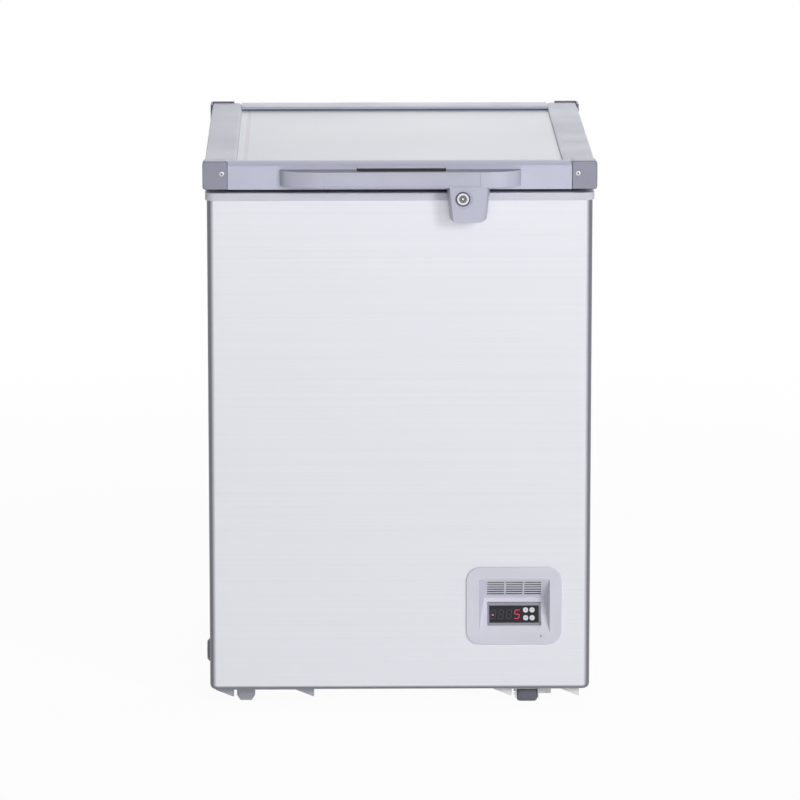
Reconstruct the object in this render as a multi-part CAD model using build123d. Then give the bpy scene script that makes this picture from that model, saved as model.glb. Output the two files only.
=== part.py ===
from build123d import *
import os

os.makedirs("parts", exist_ok=True)

# A 100 litre class chest freezer for very low temperatures, in millimetres.
# +Z is up, the control panel looks towards -Y, and +X is on the right of someone who faces it.
# The origin lies on the floor, under the middle of the whole freezer.

# Driving dimensions
cabinet_width = 553.0
cabinet_depth = 580.0
cabinet_height = 734.0
lid_side_overhang = 5.5
lid_end_overhang = 10.0
floor_gap = 29.0
gasket_gap = 6.0
rail_height = 39.0
cap_rise = 2.0
handle_reach = 28.0
hinge_reach = 11.0
foam_wall = 68.0
machine_width = 192.0
machine_height = 271.0
step_foam = 60.0

# Sheet, clearance and cutting sizes that many pieces share
skin = 0.8
running_clearance = 0.05
seat_clearance = 0.3
overrun = 1.0

# Places worked out from the driving dimensions
lid_depth = cabinet_depth + 2 * lid_end_overhang
lid_front = handle_reach - (handle_reach + lid_depth + hinge_reach) / 2
lid_rear = lid_front + lid_depth
cabinet_front = lid_front + lid_end_overhang
cabinet_rear = cabinet_front + cabinet_depth
cabinet_side = cabinet_width / 2
lid_side = cabinet_side + lid_side_overhang
wrap_rear = cabinet_rear - skin
collar_top = floor_gap + cabinet_height
lid_bottom = collar_top + gasket_gap
lid_top = lid_bottom + rail_height


def block(x, y, z):
    """A square block between its pairs of limits."""
    size = (x[1] - x[0], y[1] - y[0], z[1] - z[0])
    return Pos(x[0], y[0], z[0]) * Box(*size, align=(Align.MIN, Align.MIN, Align.MIN))


def rounded_block(half_width, y, z, radius):
    """A block about the middle plane with rounded uprights."""
    plan = Pos(0, (y[0] + y[1]) / 2, z[0]) * RectangleRounded(2 * half_width, y[1] - y[0], radius)
    return extrude(plan, amount=z[1] - z[0], dir=(0, 0, 1))


def side_profile(points, x):
    """An outline in Y and Z carried from one X to another."""
    outline = Plane.YZ.offset(x[0]) * make_face(Polyline(*points, close=True))
    return extrude(outline, amount=x[1] - x[0], dir=(1, 0, 0))


def front_profile(points, y):
    """An outline in X and Z carried from one Y to another."""
    outline = Plane.XZ.offset(-y[0]) * make_face(Polyline(*points, close=True))
    return extrude(outline, amount=y[1] - y[0], dir=(0, 1, 0))


def rod(start, end, radius):
    """A round bar between two points."""
    line = Line(start, end)
    plane = Plane(origin=start, z_dir=line % 0)
    return extrude(plane * Circle(radius), amount=line.length, dir=plane.z_dir)


def slots(centre, pitch, count, size):
    """A grid of cutting blocks; each triple is along X, Y and Z."""
    cutters = []
    for column in range(count[0]):
        for row in range(count[1]):
            for level in range(count[2]):
                place = [c + p * (i - (n - 1) / 2)
                         for c, p, i, n in zip(centre, pitch, (column, row, level), count)]
                cutters.append(Pos(*place) * Box(*size))
    return cutters


def mirrored(piece):
    """A piece and its twin on the other side of the middle plane."""
    return [piece, mirror(piece, about=Plane.YZ)]


def save(node, pieces):
    """Writes one sub-part, made of one solid or of several like ones."""
    solids = [s for p in (pieces if isinstance(pieces, list) else [pieces]) for s in p.solids()]
    export_step(solids[0] if len(solids) == 1 else Compound(solids), f"parts/{node}.step")


# Outer wrap: one brushed stainless sheet folded round the front and both sides
corner_radius = 11.0
fold_radius = 8.0
flange_width = 14.0
collar_plate = 2.5
wrap_top = collar_top - collar_plate
side_vent_width = 60.0
side_vent_height = 4.0
side_vent_pitch = 9.0
side_vent_rows = 12
side_vent_columns = 2
side_vent_column_pitch = 74.0
side_vent_front = 100.0
side_vent_bottom = 60.0


def cabinet_form(inset, rear):
    """The cabinet's outside shape, drawn in by a wall, with its folded lower edges."""
    side = cabinet_side - inset
    form = block((-side, side), (cabinet_front + inset, rear), (floor_gap + inset, wrap_top))
    form = fillet(form.edges().filter_by(Axis.Z).sort_by(Axis.Y)[:2], corner_radius - inset)
    under = form.faces().sort_by(Axis.Z)[0].edges().sort_by(Axis.Y)[:-1]
    return fillet(under, fold_radius - inset)


def outer_wrap():
    wrap = cabinet_form(0, wrap_rear) - cabinet_form(skin, wrap_rear + overrun)
    inner = cabinet_side - flange_width
    wrap -= block((-inner, inner), (cabinet_front + flange_width, wrap_rear + overrun),
                  (floor_gap - overrun, floor_gap + skin + overrun))
    side = cabinet_side - skin
    rear_return = block((side - flange_width, side), (wrap_rear - skin, wrap_rear),
                        (floor_gap + fold_radius, wrap_top))
    for piece in mirrored(rear_return):
        wrap += piece
    mouth = (bezel_pit_right - bezel_pit_left, bezel_pit_top - bezel_pit_bottom)
    centre = ((bezel_pit_left + bezel_pit_right) / 2, (bezel_pit_bottom + bezel_pit_top) / 2)
    reach = 2 * (bezel_wall + seat_clearance)
    wrap -= Pos(centre[0], cabinet_front, centre[1]) * Box(mouth[0] + reach, 4 * skin, mouth[1] + reach)
    vent_middle = (cabinet_side,
                   cabinet_front + side_vent_front + side_vent_column_pitch,
                   floor_gap + side_vent_bottom + side_vent_pitch * side_vent_rows / 2)
    wrap -= slots(vent_middle, (0, side_vent_column_pitch, side_vent_pitch),
                  (1, side_vent_columns, side_vent_rows), (4 * skin, side_vent_width, side_vent_height))
    wrap -= rod((-cabinet_side - overrun, drain_y, drain_z),
                (-cabinet_side + skin + overrun, drain_y, drain_z),
                drain_pipe_radius + seat_clearance)
    return wrap


# Rear panel: a flat steel sheet over the wrap's two rear returns, with the machine's air outlet
rear_vent_width = 46.0
rear_vent_height = 4.0
rear_vent_rows = 14
rear_vent_columns = 3
rear_vent_pitch = 11.0
rear_vent_column_pitch = 54.0
rear_vent_bottom = 70.0
bead_width = 14.0
bead_height = 1.2
bead_inset = 90.0
bead_count = 3


def rear_panel():
    side = cabinet_side
    panel = block((-side, side), (wrap_rear, cabinet_rear), (floor_gap + fold_radius, wrap_top))
    bead_low = floor_gap + machine_height
    bead_high = collar_top - collar_skirt - hinge_base_height - bead_width
    for i in range(bead_count):
        x = -side + bead_inset + i * (side - bead_inset)
        bead = rounded_block(bead_width / 2, (bead_low, bead_high), (0, bead_height),
                             bead_width / 2 - skin)
        panel += Pos(x, cabinet_rear + bead_height, 0) * Rot(90, 0, 0) * bead
    x = cabinet_side - machine_width / 2
    z = floor_gap + rear_vent_bottom + rear_vent_pitch * rear_vent_rows / 2
    panel -= slots((x, cabinet_rear, z), (rear_vent_column_pitch, 0, rear_vent_pitch),
                   (rear_vent_columns, 1, rear_vent_rows), (rear_vent_width, 4 * skin, rear_vent_height))
    return panel - rod((gland_x, wrap_rear - overrun, gland_z),
                       (gland_x, cabinet_rear + overrun, gland_z), gland_neck_radius + seat_clearance)


# Base pan: a galvanised sheet that lies on the wrap's lower flange and closes the foam
pan_thickness = 1.0
pan_top = floor_gap + skin + pan_thickness
floor_vent_length = 50.0
floor_vent_width = 5.0
floor_vent_pitch = 14.0
floor_vent_count = 8


def base_pan():
    side = cabinet_side - corner_radius
    pan = block((-side, side), (cabinet_front + corner_radius, wrap_rear - skin),
                (pan_top - pan_thickness, pan_top))
    vent_x = cabinet_side - machine_width / 2
    return pan - slots((vent_x, condenser_front - floor_vent_length, pan_top), (floor_vent_pitch, 0, 0),
                       (floor_vent_count, 1, 1), (floor_vent_width, floor_vent_length, 4 * pan_thickness))


# Machine cover: the bent sheet that keeps the foam out of the compressor's room
machine_left = cabinet_side - machine_width
machine_top = floor_gap + machine_height


def machine_cover():
    x = (machine_left - skin, cabinet_side - skin)
    cover = front_profile([(x[0], pan_top), (x[0], machine_top), (x[1], machine_top),
                           (x[1], machine_top - skin), (machine_left, machine_top - skin),
                           (machine_left, pan_top)], (cabinet_front + skin, wrap_rear - skin))
    return cover & cabinet_form(skin, wrap_rear)


# Liner: the stepped inner tank, with a flange that lies on the foam under the collar
liner_wall = 0.8
liner_corner = 24.0
liner_floor_radius = 10.0
liner_flange = 16.0
liner_side = cabinet_side - skin - foam_wall
liner_front = cabinet_front + skin + foam_wall
liner_rear = wrap_rear - skin - foam_wall
liner_floor = pan_top + foam_wall
liner_top = wrap_top
step_left = machine_left - skin - foam_wall
step_floor = machine_top + step_foam
drain_hole_inset = 57.7
drain_hole_x = drain_hole_inset - liner_side


def tank(inset):
    """The stepped tank's outside, drawn in by a wall."""
    y = (liner_front + inset, liner_rear - inset)
    middle = (step_left - liner_side) / 2
    half = (step_left + liner_side) / 2 - inset
    deep = rounded_block(half, y, (liner_floor + inset, liner_top), liner_corner - inset)
    deep = Pos(middle, 0, 0) * fillet(deep.edges().group_by(Axis.Z)[0], liner_floor_radius - inset)
    wide = rounded_block(liner_side - inset, y, (step_floor + inset, liner_top), liner_corner - inset)
    return deep + wide


def liner():
    flange = rounded_block(liner_side + liner_flange,
                           (liner_front - liner_flange, liner_rear + liner_flange),
                           (liner_top - liner_wall, liner_top), liner_corner + liner_flange)
    hollow = tank(liner_wall)
    hollow += rounded_block(liner_side - liner_wall,
                            (liner_front + liner_wall, liner_rear - liner_wall),
                            (liner_top - liner_flange, liner_top + overrun), liner_corner - liner_wall)
    hole = rod((drain_hole_x, drain_y, liner_floor - overrun),
               (drain_hole_x, drain_y, liner_floor + liner_wall + overrun), drain_bore_radius)
    return tank(0) + flange - hollow - hole


# Foam: polyurethane between the wrap and the liner, stopped by the machine cover
def cabinet_foam():
    foam = cabinet_form(skin, wrap_rear - skin)
    foam &= block((-cabinet_side, cabinet_side), (cabinet_front, wrap_rear),
                  (pan_top, liner_top - liner_wall))
    foam -= block((machine_left - skin, cabinet_side), (cabinet_front, cabinet_rear),
                  (floor_gap, machine_top))
    return foam - tank(0) - evaporator_coil() - drain_run(drain_pipe_radius)


# Collar: the moulded frame round the mouth, over the wrap's top edge and into the liner
collar_skirt = 11.0
collar_wall = 2.5
collar_lip = 12.0
collar_edge_radius = 1.2


def collar():
    side = cabinet_side + collar_wall
    y = (cabinet_front - collar_wall, cabinet_rear + collar_wall)
    low = collar_top - collar_skirt
    frame = rounded_block(side, y, (low, collar_top), corner_radius + collar_wall)
    frame = fillet(frame.edges().group_by(Axis.Z)[-1], collar_edge_radius)
    under = (low - overrun, wrap_top)
    body = rounded_block(cabinet_side, (cabinet_front, cabinet_rear), under, corner_radius)
    body += block((-cabinet_side, cabinet_side), (cabinet_rear - 2 * corner_radius, cabinet_rear), under)
    inside = [liner_side - liner_wall, liner_front + liner_wall, liner_rear - liner_wall]
    lip = rounded_block(inside[0], inside[1:], (wrap_top - collar_lip, collar_top - overrun),
                        liner_corner - liner_wall)
    mouth = rounded_block(inside[0] - collar_wall, (inside[1] + collar_wall, inside[2] - collar_wall),
                          (wrap_top - collar_lip - overrun, collar_top + overrun),
                          liner_corner - liner_wall - collar_wall)
    return frame - body + lip - mouth


# Evaporator: flattened tube wound round the tank under the foam
coil_tube = 8.0
coil_flat = 5.0
coil_pitch = 62.0
coil_turns = 4
coil_start = 60.0


def evaporator_coil():
    """Level turns against the liner, each joined to the next by a short riser at the back."""
    reach = coil_flat / 2
    turns = []
    for i in range(coil_turns):
        z = step_floor + coil_start + i * coil_pitch
        outer = rounded_block(liner_side + coil_flat, (liner_front - coil_flat, liner_rear + coil_flat),
                              (z, z + coil_tube), liner_corner + coil_flat)
        inner = rounded_block(liner_side, (liner_front, liner_rear),
                              (z - overrun, z + coil_tube + overrun), liner_corner)
        turns.append(outer - inner)
    coil = turns[0]
    for turn in turns[1:]:
        coil += turn
    for i in range(coil_turns - 1):
        z = step_floor + coil_start + i * coil_pitch
        x = coil_tube * 2 * (i - 1)
        coil += block((x - reach, x + reach), (liner_rear, liner_rear + coil_flat), (z, z + coil_pitch))
    return coil


# Drain: a pipe from the tank's floor to the left side, closed by a pull-out plug
drain_lift = 39.0
drain_z = floor_gap + drain_lift
drain_setback = 90.0
drain_y = cabinet_front + drain_setback
drain_pipe_radius = 10.0
drain_bore_radius = 8.5
plug_cap_radius = 16.5
plug_cap_edge = 3.0
plug_stem_length = 16.0
plug_flute_radius = 2.4
plug_flutes = 10


def drain_run(radius):
    """The drain's run as a solid: down from the tank's floor, then level to the left side."""
    path = Polyline((drain_hole_x, drain_y, liner_floor), (drain_hole_x, drain_y, drain_z),
                    (-cabinet_side, drain_y, drain_z))
    start = Plane(origin=path @ 0, z_dir=path % 0)
    return sweep(start * Circle(radius), path=path, transition=Transition.RIGHT)


def drain_pipe():
    return drain_run(drain_pipe_radius) - drain_run(drain_bore_radius)


def drain_plug():
    reach = lid_side_overhang
    cap = extrude(Circle(plug_cap_radius), amount=reach)
    cap = chamfer(cap.edges().group_by(Axis.Z)[-1], plug_cap_edge)
    for place in PolarLocations(plug_cap_radius + plug_flute_radius / 2, plug_flutes):
        cap -= place * Cylinder(plug_flute_radius, 4 * reach)
    stem = extrude(Circle(drain_bore_radius - seat_clearance), amount=-plug_stem_length)
    plug = cap + chamfer(stem.edges().group_by(Axis.Z)[0], plug_cap_edge / 2)
    return Pos(-cabinet_side, drain_y, drain_z) * Rot(0, -90, 0) * plug


# Feet and rollers: fixed moulded feet under the left side, rollers under the heavy right side
foot_inset = 51.5
foot_setback = 66.0
foot_top = 26.5
foot_bottom = 16.3
foot_taper_height = 9.0
foot_depth = 30.0
bracket_thickness = 2.0
bracket_drop = 4.0
bracket_depth = 78.0
bracket_setback = 20.0
bracket_bottom = floor_gap - bracket_drop
lip_drop = 10.0
lip_length = 27.0
foot_bracket_inset = 7.5
foot_bracket_length = 144.0
roller_inset = 89.5
roller_setback = 47.0
roller_headroom = 2.0
roller_radius = (floor_gap - roller_headroom) / 2
roller_width = 30.0
roller_edge = 4.0
roller_edge_share = 0.3
foot_edge = 2.0
axle_radius = 3.0
roller_bracket_inset = 14.5
roller_bracket_length = 125.0
ear_drop = 4.0
step_block_width = 18.0
step_block_bottom = 11.0
bolt_radius = 5.5
bolt_height = 5.5
bolt_shares = (0.45, 0.72)
roller_bolt_shares = (0.11, 0.9)
foot_x = foot_inset - cabinet_side
foot_bracket_left = foot_bracket_inset - cabinet_side
foot_bracket_right = foot_bracket_left + foot_bracket_length
roller_x = cabinet_side - roller_inset
roller_bracket_right = cabinet_side - roller_bracket_inset
roller_bracket_left = roller_bracket_right - roller_bracket_length


def front_and_rear(setback):
    """The Y of a piece near the front and of its twin near the rear."""
    return [(cabinet_front + setback, 1), (cabinet_rear - setback, -1)]


def foot(y):
    half = foot_depth / 2
    narrow = half - (foot_top - foot_bottom) / 2
    top = Pos(foot_x, y, foot_taper_height) * Rectangle(foot_top, foot_depth)
    bottom = Pos(foot_x, y, 0) * Rectangle(foot_bottom, 2 * narrow)
    upper = extrude(top, amount=bracket_bottom - foot_taper_height, dir=(0, 0, 1))
    body = upper + loft([bottom.face(), top.face()])
    return chamfer(body.edges().filter_by(Axis.Z), foot_edge)


def bracket(left, right, y, facing):
    """A shallow channel under the cabinet, with a tapering lip at each end of its outer web."""
    outer = y - facing * bracket_depth / 2
    inner = y + facing * bracket_depth / 2
    span = sorted((outer, inner))
    plate = block((left, right), span, (bracket_bottom, bracket_bottom + bracket_thickness))
    webs = [sorted((outer, outer + facing * bracket_thickness)),
            sorted((inner, inner - facing * bracket_thickness))]
    for web in webs:
        plate += block((left, right), web, (bracket_bottom, floor_gap))
    low = bracket_bottom - lip_drop
    for tip, root in ((left + lip_length, left), (right, right - lip_length)):
        lip = [(root, bracket_bottom), (tip, bracket_bottom), (tip, low), (tip - bracket_thickness, low)]
        plate += front_profile(lip, webs[0])
    return plate


def foot_brackets():
    made = []
    for y, facing in front_and_rear(bracket_setback + bracket_depth / 2):
        made.append(bracket(foot_bracket_left, foot_bracket_right, y, facing))
    return made


def roller_bracket(y, facing):
    """The right hand channel, with two ears that carry the roller's axle."""
    centre = y + facing * (bracket_setback + bracket_depth / 2 - roller_setback)
    plate = bracket(roller_bracket_left, roller_bracket_right, centre, facing)
    gap = roller_width / 2 + seat_clearance
    window = roller_radius + seat_clearance
    plate -= block((roller_x - gap, roller_x + gap), (y - window, y + window),
                   (bracket_bottom - overrun, bracket_bottom + bracket_thickness + overrun))
    ear_low = roller_radius - axle_radius - ear_drop
    for side in (-1, 1):
        inner = roller_x + side * gap
        x = sorted((inner, inner + side * bracket_thickness))
        ear = block(x, (y - window, y + window), (ear_low, floor_gap))
        plate += fillet(ear.edges().filter_by(Axis.X).group_by(Axis.Z)[0], ear_drop)
    x = roller_x + gap + bracket_thickness
    plate += block((x, x + step_block_width), (y, y + facing * window) if facing > 0 else (y - window, y),
                   (step_block_bottom, bracket_bottom))
    return plate - rod((roller_x - roller_width, y, roller_radius),
                       (roller_x + roller_width, y, roller_radius), axle_radius + running_clearance)


def roller(y):
    """A turned wheel whose edges are cut twice, close to a round."""
    half = roller_width / 2
    bore = axle_radius + running_clearance
    step = roller_edge_share * roller_edge
    half_rim = [(roller_radius, half - roller_edge), (roller_radius - step, half - step),
                (roller_radius - roller_edge, half)]
    outline = [(bore, -half)] + [(r, -x) for r, x in reversed(half_rim)] + half_rim + [(bore, half)]
    wheel = revolve(Plane.XZ * make_face(Polyline(*outline, close=True)), axis=Axis.Z)
    return Pos(roller_x, y, roller_radius) * Rot(0, 90, 0) * wheel


def roller_axle(y):
    half = roller_width / 2 + seat_clearance + bracket_thickness
    head = axle_radius + bracket_thickness
    axle = rod((roller_x - half, y, roller_radius), (roller_x + half, y, roller_radius), axle_radius)
    return axle + rod((roller_x - half - bracket_thickness, y, roller_radius),
                      (roller_x - half, y, roller_radius), head)


def bracket_bolts():
    """Hexagon heads against the undersides of the four brackets."""
    heads = []
    spans = ((foot_bracket_left, foot_bracket_right, bolt_shares),
             (roller_bracket_left, roller_bracket_right, roller_bolt_shares))
    for left, right, shares in spans:
        for share in shares:
            x = left + share * (right - left)
            for y, _ in front_and_rear(bracket_setback + bracket_depth / 3):
                head = Pos(x, y, bracket_bottom - bolt_height) * RegularPolygon(bolt_radius, 6)
                heads.append(extrude(head, amount=bolt_height, dir=(0, 0, 1)))
    return heads


# Compressor: a hermetic shell on rubber mounts at the rear of the machine's room
compressor_room = 8.0
mount_ledge = 13.0
mount_length = machine_width - 2 * compressor_room
compressor_length = mount_length - 2 * mount_ledge
depth_share = 0.8
compressor_depth = depth_share * compressor_length
compressor_height = 165.0
compressor_seam = 0.48
compressor_round = 22.0
seam_width = 3.0
seam_height = 4.0
mount_plate = 3.0
mount_inset = 5.0
mount_depth = compressor_depth - 2 * mount_inset
mount_rail = 34.0
grommet_radius = 11.0
grommet_height = 16.0
grommet_inset = 14.0
compressor_setback = 130.0
compressor_x = cabinet_side - machine_width / 2
compressor_y = cabinet_rear - compressor_setback
compressor_floor = pan_top + grommet_height + mount_plate
terminal_width = 52.0
terminal_height = 60.0
terminal_depth = 28.0


def compressor():
    seam_z = compressor_floor + compressor_seam * compressor_height
    plan = SlotOverall(compressor_length, compressor_depth)
    shell = extrude(Pos(0, 0, compressor_floor) * plan, amount=compressor_height, dir=(0, 0, 1))
    shell = chamfer(shell.edges().group_by(Axis.Z)[-1], compressor_round, compressor_round / 2)
    rim = SlotOverall(compressor_length + 2 * seam_width, compressor_depth + 2 * seam_width)
    shell += extrude(Pos(0, 0, seam_z - seam_height / 2) * rim, amount=seam_height, dir=(0, 0, 1))
    for side in (-1, 1):
        y = side * (mount_depth - mount_rail) / 2
        shell += Pos(0, y, compressor_floor - mount_plate / 2) * Box(mount_length, mount_rail, mount_plate)
    return Pos(compressor_x, compressor_y, 0) * shell


def compressor_grommets():
    made = []
    for x in (-1, 1):
        for y in (-1, 1):
            place = Pos(compressor_x + x * (mount_length / 2 - grommet_inset),
                        compressor_y + y * (mount_depth - mount_rail) / 2, pan_top + grommet_height / 2)
            made.append(place * Cylinder(grommet_radius, grommet_height))
    return made


def terminal_cover():
    """The plastic cover over the compressor's terminals and relay, on its front side."""
    z = compressor_floor + compressor_seam * compressor_height / 2
    y = compressor_y - compressor_depth / 2
    cover = Pos(compressor_x, y - terminal_depth / 2 + seam_width, z) * Box(
        terminal_width, terminal_depth, terminal_height)
    cover = fillet(cover.faces().sort_by(Axis.Y)[0].edges(), seam_width)
    return cover - compressor()


# Condenser and its fan, in the front half of the machine's room
condenser_setback = 110.0
condenser_front = cabinet_front + condenser_setback
condenser_room = 28.0
condenser_width = machine_width - 2 * condenser_room
condenser_depth = 44.0
condenser_height = 170.0
condenser_fins = 13
fin_thickness = 1.2
condenser_rows = 6
condenser_tube = 8.0
condenser_lift = 6.0
fan_gap = 6.0
fan_plate = 3.0
fan_border = 6.0
fan_radius = condenser_width / 2 - fan_border
fan_ring_wall = 3.0
fan_ring_depth = 18.0
fan_blades = 5
fan_blade_thickness = 2.0
fan_blade_chord = 34.0
fan_pitch_angle = 32.0
fan_tip_clearance = 5.0
fan_hub_radius = 17.0
fan_hub_depth = 16.0
motor_radius = 27.0
motor_length = 38.0
motor_shaft_radius = 3.0
bracket_bar = 10.0
condenser_middle = cabinet_side - machine_width / 2
fan_plate_front = condenser_front + condenser_depth + fan_gap
fan_z = pan_top + condenser_lift + condenser_height / 2
hub_front = fan_plate_front + fan_gap


def condenser():
    """Fins across the air, joined by flat tubes, with return bends and feet."""
    x = (condenser_middle - condenser_width / 2, condenser_middle + condenser_width / 2)
    y = (condenser_front, condenser_front + condenser_depth)
    z = (pan_top + condenser_lift, pan_top + condenser_lift + condenser_height)
    pitch = (condenser_width - fin_thickness) / (condenser_fins - 1)
    pack = block((x[0], x[0] + fin_thickness), y, (pan_top, z[1]))
    for i in range(1, condenser_fins):
        left = x[0] + i * pitch
        low = pan_top if i == condenser_fins - 1 else z[0]
        pack += block((left, left + fin_thickness), y, (low, z[1]))
    rise = condenser_height / condenser_rows
    inset = condenser_depth / 4
    for i in range(condenser_rows):
        low = z[0] + (i + 1 / 2) * rise - condenser_tube / 2
        pack += block((x[0] - condenser_tube, x[1] + condenser_tube), (y[0] + inset, y[1] - inset),
                      (low, low + condenser_tube))
    for i in range(condenser_rows - 1):
        low = z[0] + (i + 1 / 2) * rise - condenser_tube / 2
        end = x[0] - condenser_tube if i % 2 else x[1]
        pack += block((end, end + condenser_tube), (y[0] + inset, y[1] - inset),
                      (low, low + rise + condenser_tube))
    return pack


def fan_rod(front, rear, radius):
    """A round bar on the fan's axis."""
    return rod((condenser_middle, front, fan_z), (condenser_middle, rear, fan_z), radius)


def fan_shroud():
    """The fan's plate and ring, on the pan, with a bent bar behind that holds the motor."""
    x = (condenser_middle - condenser_width / 2, condenser_middle + condenser_width / 2)
    plate = block(x, (fan_plate_front, fan_plate_front + fan_plate),
                  (pan_top, fan_z + condenser_height / 2))
    ring_rear = fan_plate_front + fan_ring_depth
    plate += fan_rod(fan_plate_front, ring_rear, fan_radius + fan_ring_wall)
    plate -= fan_rod(fan_plate_front - overrun, ring_rear + overrun, fan_radius)
    bar_front = hub_front + fan_hub_depth + fan_gap
    bar_rear = bar_front + fan_plate
    z = (fan_z - bracket_bar / 2, fan_z + bracket_bar / 2)
    reach = fan_radius + fan_ring_wall
    bar = block((condenser_middle - reach, condenser_middle + reach), (bar_front, bar_rear), z)
    for side in (-1, 1):
        limits = sorted((condenser_middle + side * fan_radius, condenser_middle + side * reach))
        bar += block(limits, (ring_rear - fan_plate, bar_rear), z)
    hole = fan_rod(bar_front - overrun, bar_rear + overrun, motor_shaft_radius + fan_ring_wall)
    return plate + bar - hole


def fan_motor():
    front = hub_front + fan_hub_depth + fan_gap + fan_plate
    motor = fan_rod(front, front + motor_length, motor_radius)
    motor = chamfer(motor.edges().group_by(Axis.Y)[-1], fan_ring_wall)
    return motor + fan_rod(hub_front + fan_gap, front + overrun, motor_shaft_radius)


def fan_blade():
    """Five pitched blades on a hub that runs on the motor's shaft."""
    hub = Cylinder(fan_hub_radius, fan_hub_depth)
    hub = chamfer(hub.edges().group_by(Axis.Z)[0], fan_blade_thickness)
    reach = fan_radius - fan_tip_clearance
    paddle = Pos((fan_hub_radius + reach) / 2, 0, 0) * Rot(fan_pitch_angle, 0, 0) * Box(
        reach - fan_hub_radius + fan_blade_thickness * 2, fan_blade_chord, fan_blade_thickness)
    paddle &= Cylinder(reach, 2 * fan_hub_depth)
    fan = hub
    for place in PolarLocations(0, fan_blades):
        fan += place * paddle
    shaft = Pos(0, 0, fan_hub_depth / 2) * Cylinder(motor_shaft_radius + running_clearance,
                                                   2 * (fan_hub_depth - fan_gap))
    fan -= shaft
    return Pos(condenser_middle, hub_front + fan_hub_depth / 2, fan_z) * Rot(-90, 0, 0) * fan


# Pipework: the drier and the copper pipes between the machine's pieces
pipe_radius = 3.0
pipe_bend = 6.0
capillary_radius = 1.5
pipe_inset = 11.5
drier_radius = 8.5
drier_length = 90.0
drier_neck = 14.0
drier_lift = 30.0
drier_setback = 120.0
pipe_x = machine_left + pipe_inset
drier_y = compressor_y - drier_setback
condenser_rise = condenser_height / condenser_rows
pipe_low = pan_top + condenser_lift + condenser_rise / 2
pipe_high = pan_top + condenser_lift + condenser_height - condenser_rise / 2
drier_low = pipe_low + drier_lift


def pipe(*points):
    path = FilletPolyline(*points, radius=pipe_bend)
    return sweep(Plane(origin=path @ 0, z_dir=path % 0) * Circle(pipe_radius), path=path)


def refrigerant_pipes():
    """Discharge to the condenser, liquid to the drier, capillary and suction through the cover."""
    y = condenser_front + condenser_depth / 2
    condenser_end = condenser_middle - condenser_width / 2 - condenser_tube
    left = compressor_x - compressor_length / 2
    right = compressor_x + compressor_length / 2
    hot_z = compressor_floor + compressor_height / 3
    cold_z = compressor_floor + compressor_height * 2 / 3
    discharge = pipe((left, compressor_y, hot_z), (pipe_x, compressor_y, hot_z),
                     (pipe_x, compressor_y, pipe_high), (pipe_x, y, pipe_high),
                     (condenser_end, y, pipe_high))
    liquid = pipe((condenser_end, y, pipe_low), (pipe_x, y, pipe_low), (pipe_x, drier_y, pipe_low),
                  (pipe_x, drier_y, drier_low))
    capillary = rod((pipe_x, drier_y, drier_low + drier_length), (pipe_x, drier_y, machine_top - skin),
                    capillary_radius)
    cold_x = right + pipe_bend + pipe_radius
    suction = pipe((right, compressor_y, cold_z), (cold_x, compressor_y, cold_z),
                   (cold_x, compressor_y, machine_top - skin))
    return [discharge, liquid, capillary, suction]


def filter_drier():
    """A spun copper bottle that stands upright in the liquid line."""
    half = drier_length / 2
    outline = [(0, -half), (pipe_radius, -half), (pipe_radius, -half + drier_neck / 2),
               (drier_radius, -half + drier_neck), (drier_radius, half - drier_neck),
               (pipe_radius, half - drier_neck / 2), (pipe_radius, half), (0, half)]
    bottle = revolve(Plane.XZ * make_face(Polyline(*outline, close=True)), axis=Axis.Z)
    return Pos(pipe_x, drier_y, drier_low + half) * bottle


# Control bezel: a moulded frame with a sloping pit for the controller and a grille over it
bezel_inset = 41.3
bezel_width = 139.0
bezel_right = cabinet_side - bezel_inset
bezel_left = bezel_right - bezel_width
bezel_lift = 68.2
bezel_height = 115.7
bezel_bottom = floor_gap + bezel_lift
bezel_top = bezel_bottom + bezel_height
bezel_corner = 21.0
bezel_proud = 3.5
bezel_edge = 1.6
bezel_wall = 2.5
pit_left_border = 18.4
pit_right_border = 17.2
bezel_pit_left = bezel_left + pit_left_border
bezel_pit_right = bezel_right - pit_right_border
pit_lower_border = 16.8
pit_upper_border = 16.6
bezel_pit_bottom = bezel_bottom + pit_lower_border
bezel_pit_top = bezel_top - pit_upper_border
pit_depth = 25.0
hood_drop = 34.5
pit_crease = bezel_pit_top - hood_drop
pit_side_slope = 8.4
grille_rows = 6
grille_columns = 3
grille_slot_width = 24.5
grille_slot_height = 2.6
grille_column_gap = 2.4
grille_pitch = 5.1
grille_top_margin = 7.4
bezel_front = cabinet_front - bezel_proud
pit_middle = (bezel_pit_left + bezel_pit_right) / 2
facet = Plane(origin=(pit_middle, bezel_front, bezel_pit_bottom), x_dir=(1, 0, 0),
              z_dir=(0, -(pit_crease - bezel_pit_bottom), pit_depth))
hood = Plane(origin=(pit_middle, bezel_front, bezel_pit_top), x_dir=(1, 0, 0),
             z_dir=(0, -(bezel_pit_top - pit_crease), -pit_depth))


def pit_form(wall):
    """The pit's wedge: a mouth in the bezel's face that narrows to a level crease."""
    grow = wall * (1 + pit_side_slope / pit_depth)
    front = bezel_front - (overrun if wall == 0 else 0)
    mouth = [(x, front, z) for x in (bezel_pit_left - grow, bezel_pit_right + grow)
             for z in (bezel_pit_bottom - grow, bezel_pit_top + grow)]
    crease = [(x, bezel_front + pit_depth + grow, pit_crease)
              for x in (bezel_pit_left + pit_side_slope - wall, bezel_pit_right - pit_side_slope + wall)]
    return ConvexPolyhedron(mouth + crease)


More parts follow.
